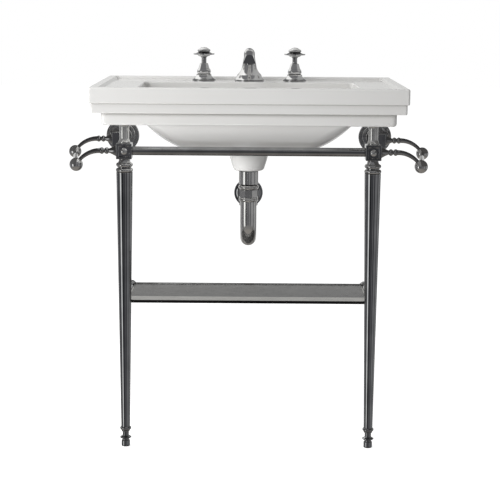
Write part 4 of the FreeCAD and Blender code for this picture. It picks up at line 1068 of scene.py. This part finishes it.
@dataclass(frozen=True)
class DarkFlags:
    """Two level dark flags beside the basin, which only mirrors under them see."""

    inner: float = 0.38
    outer: float = 1.8
    reach: float = 1.2
    height: float = 0.82
    tone: Colour = (0.070, 0.068, 0.067)

    def build(self) -> None:
        """Hang the flags."""
        for side, sign in zip(SIDES, (-1.0, 1.0)):
            self.hang(side, sign)

    def hang(self, side: str, sign: float) -> None:
        """Hang one flag.

        Args:
            side: The side's name.
            sign: -1 for the left side, 1 for the right one.
        """
        mesh = bmesh.new()
        outline = ((self.inner, -self.reach), (self.outer, -self.reach),
                   (self.outer, self.reach), (self.inner, self.reach))
        mesh.faces.new([mesh.verts.new((sign * x, y, self.height)) for x, y in outline])
        name = f"dark_flag_{side}"
        material, graph = new_material(name)
        glow = graph.node("Emission", {"Color": (*self.tone, 1.0), "Strength": 1.0})
        graph.node("OutputMaterial", {"Surface": glow.outputs[0]})
        flag = surround(name, mesh, material, ALL_BUT_MIRRORS)


@dataclass(frozen=True)
class Lamp:
    """A square soft light: what it points at, the length of its side and its watts."""

    name: str
    place: Point
    target: Point
    size: float
    power: float

    def build(self) -> None:
        """Hang the lamp, which neither mirrors nor the camera see."""
        data = bpy.data.lights.new(self.name, "AREA")
        data.shape = "SQUARE"
        data.size = self.size
        data.energy = self.power
        lamp = bpy.data.objects.new(self.name, data)
        lamp.location = self.place
        lamp.rotation_mode = "QUATERNION"
        aim = Vector(self.target) - Vector(self.place)
        lamp.rotation_quaternion = aim.to_track_quat("-Z", "Y")
        lamp.visible_glossy = False
        lamp.visible_camera = False
        bpy.context.scene.collection.objects.link(lamp)


LAMPS = (
    Lamp("key_light", (-1.30, -2.00, 1.20), (-0.1, -0.1, 0.78), 1.0, 21.0),
    Lamp("left_light", (-2.4, -0.35, 1.35), (0.0, 0.1, 0.85), 0.8, 6.0),
    Lamp("front_low_light", (-0.9, -1.7, 0.10), (0.0, 0.0, 0.76), 0.9, 10.0),
    Lamp("top_light", (-1.3, -0.2, 2.2), (-0.2, 0.0, 0.8), 1.0, 17.0),
    Lamp("bounce_light", (-0.80, -0.15, 0.05), (-0.12, -0.05, 0.80), 0.7, 7.0),
)


@dataclass(frozen=True)
class Studio:
    """Camera, pale floor, soft light and the cards that polished metal mirrors."""

    camera: Viewpoint = Viewpoint()
    floor: PaleFloor = PaleFloor()
    fill: SoftFill = SoftFill()
    dome: CardDome = CardDome()
    flags: DarkFlags = DarkFlags()
    lamps: tuple[Lamp, ...] = LAMPS

    def build(self) -> None:
        """Build everything round the object."""
        scene = bpy.context.scene
        scene.view_settings.view_transform = "Standard"
        for thing in (self.camera, self.floor, self.fill, self.dome, self.flags, *self.lamps):
            thing.build()
        LOG.info("studio is ready")


def main() -> None:
    """Load the frame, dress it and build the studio."""
    logging.basicConfig(level=logging.INFO, format="%(name)s: %(message)s")
    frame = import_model()
    nodes = frame["nodes"]
    for assembly in (Basin(nodes), Washstand(nodes), Shelf(nodes), Plumbing(nodes), Taps(nodes)):
        LOG.info("building %s", type(assembly).__name__)
        assembly.build()
    Studio().build()


if __name__ == "__main__":
    main()
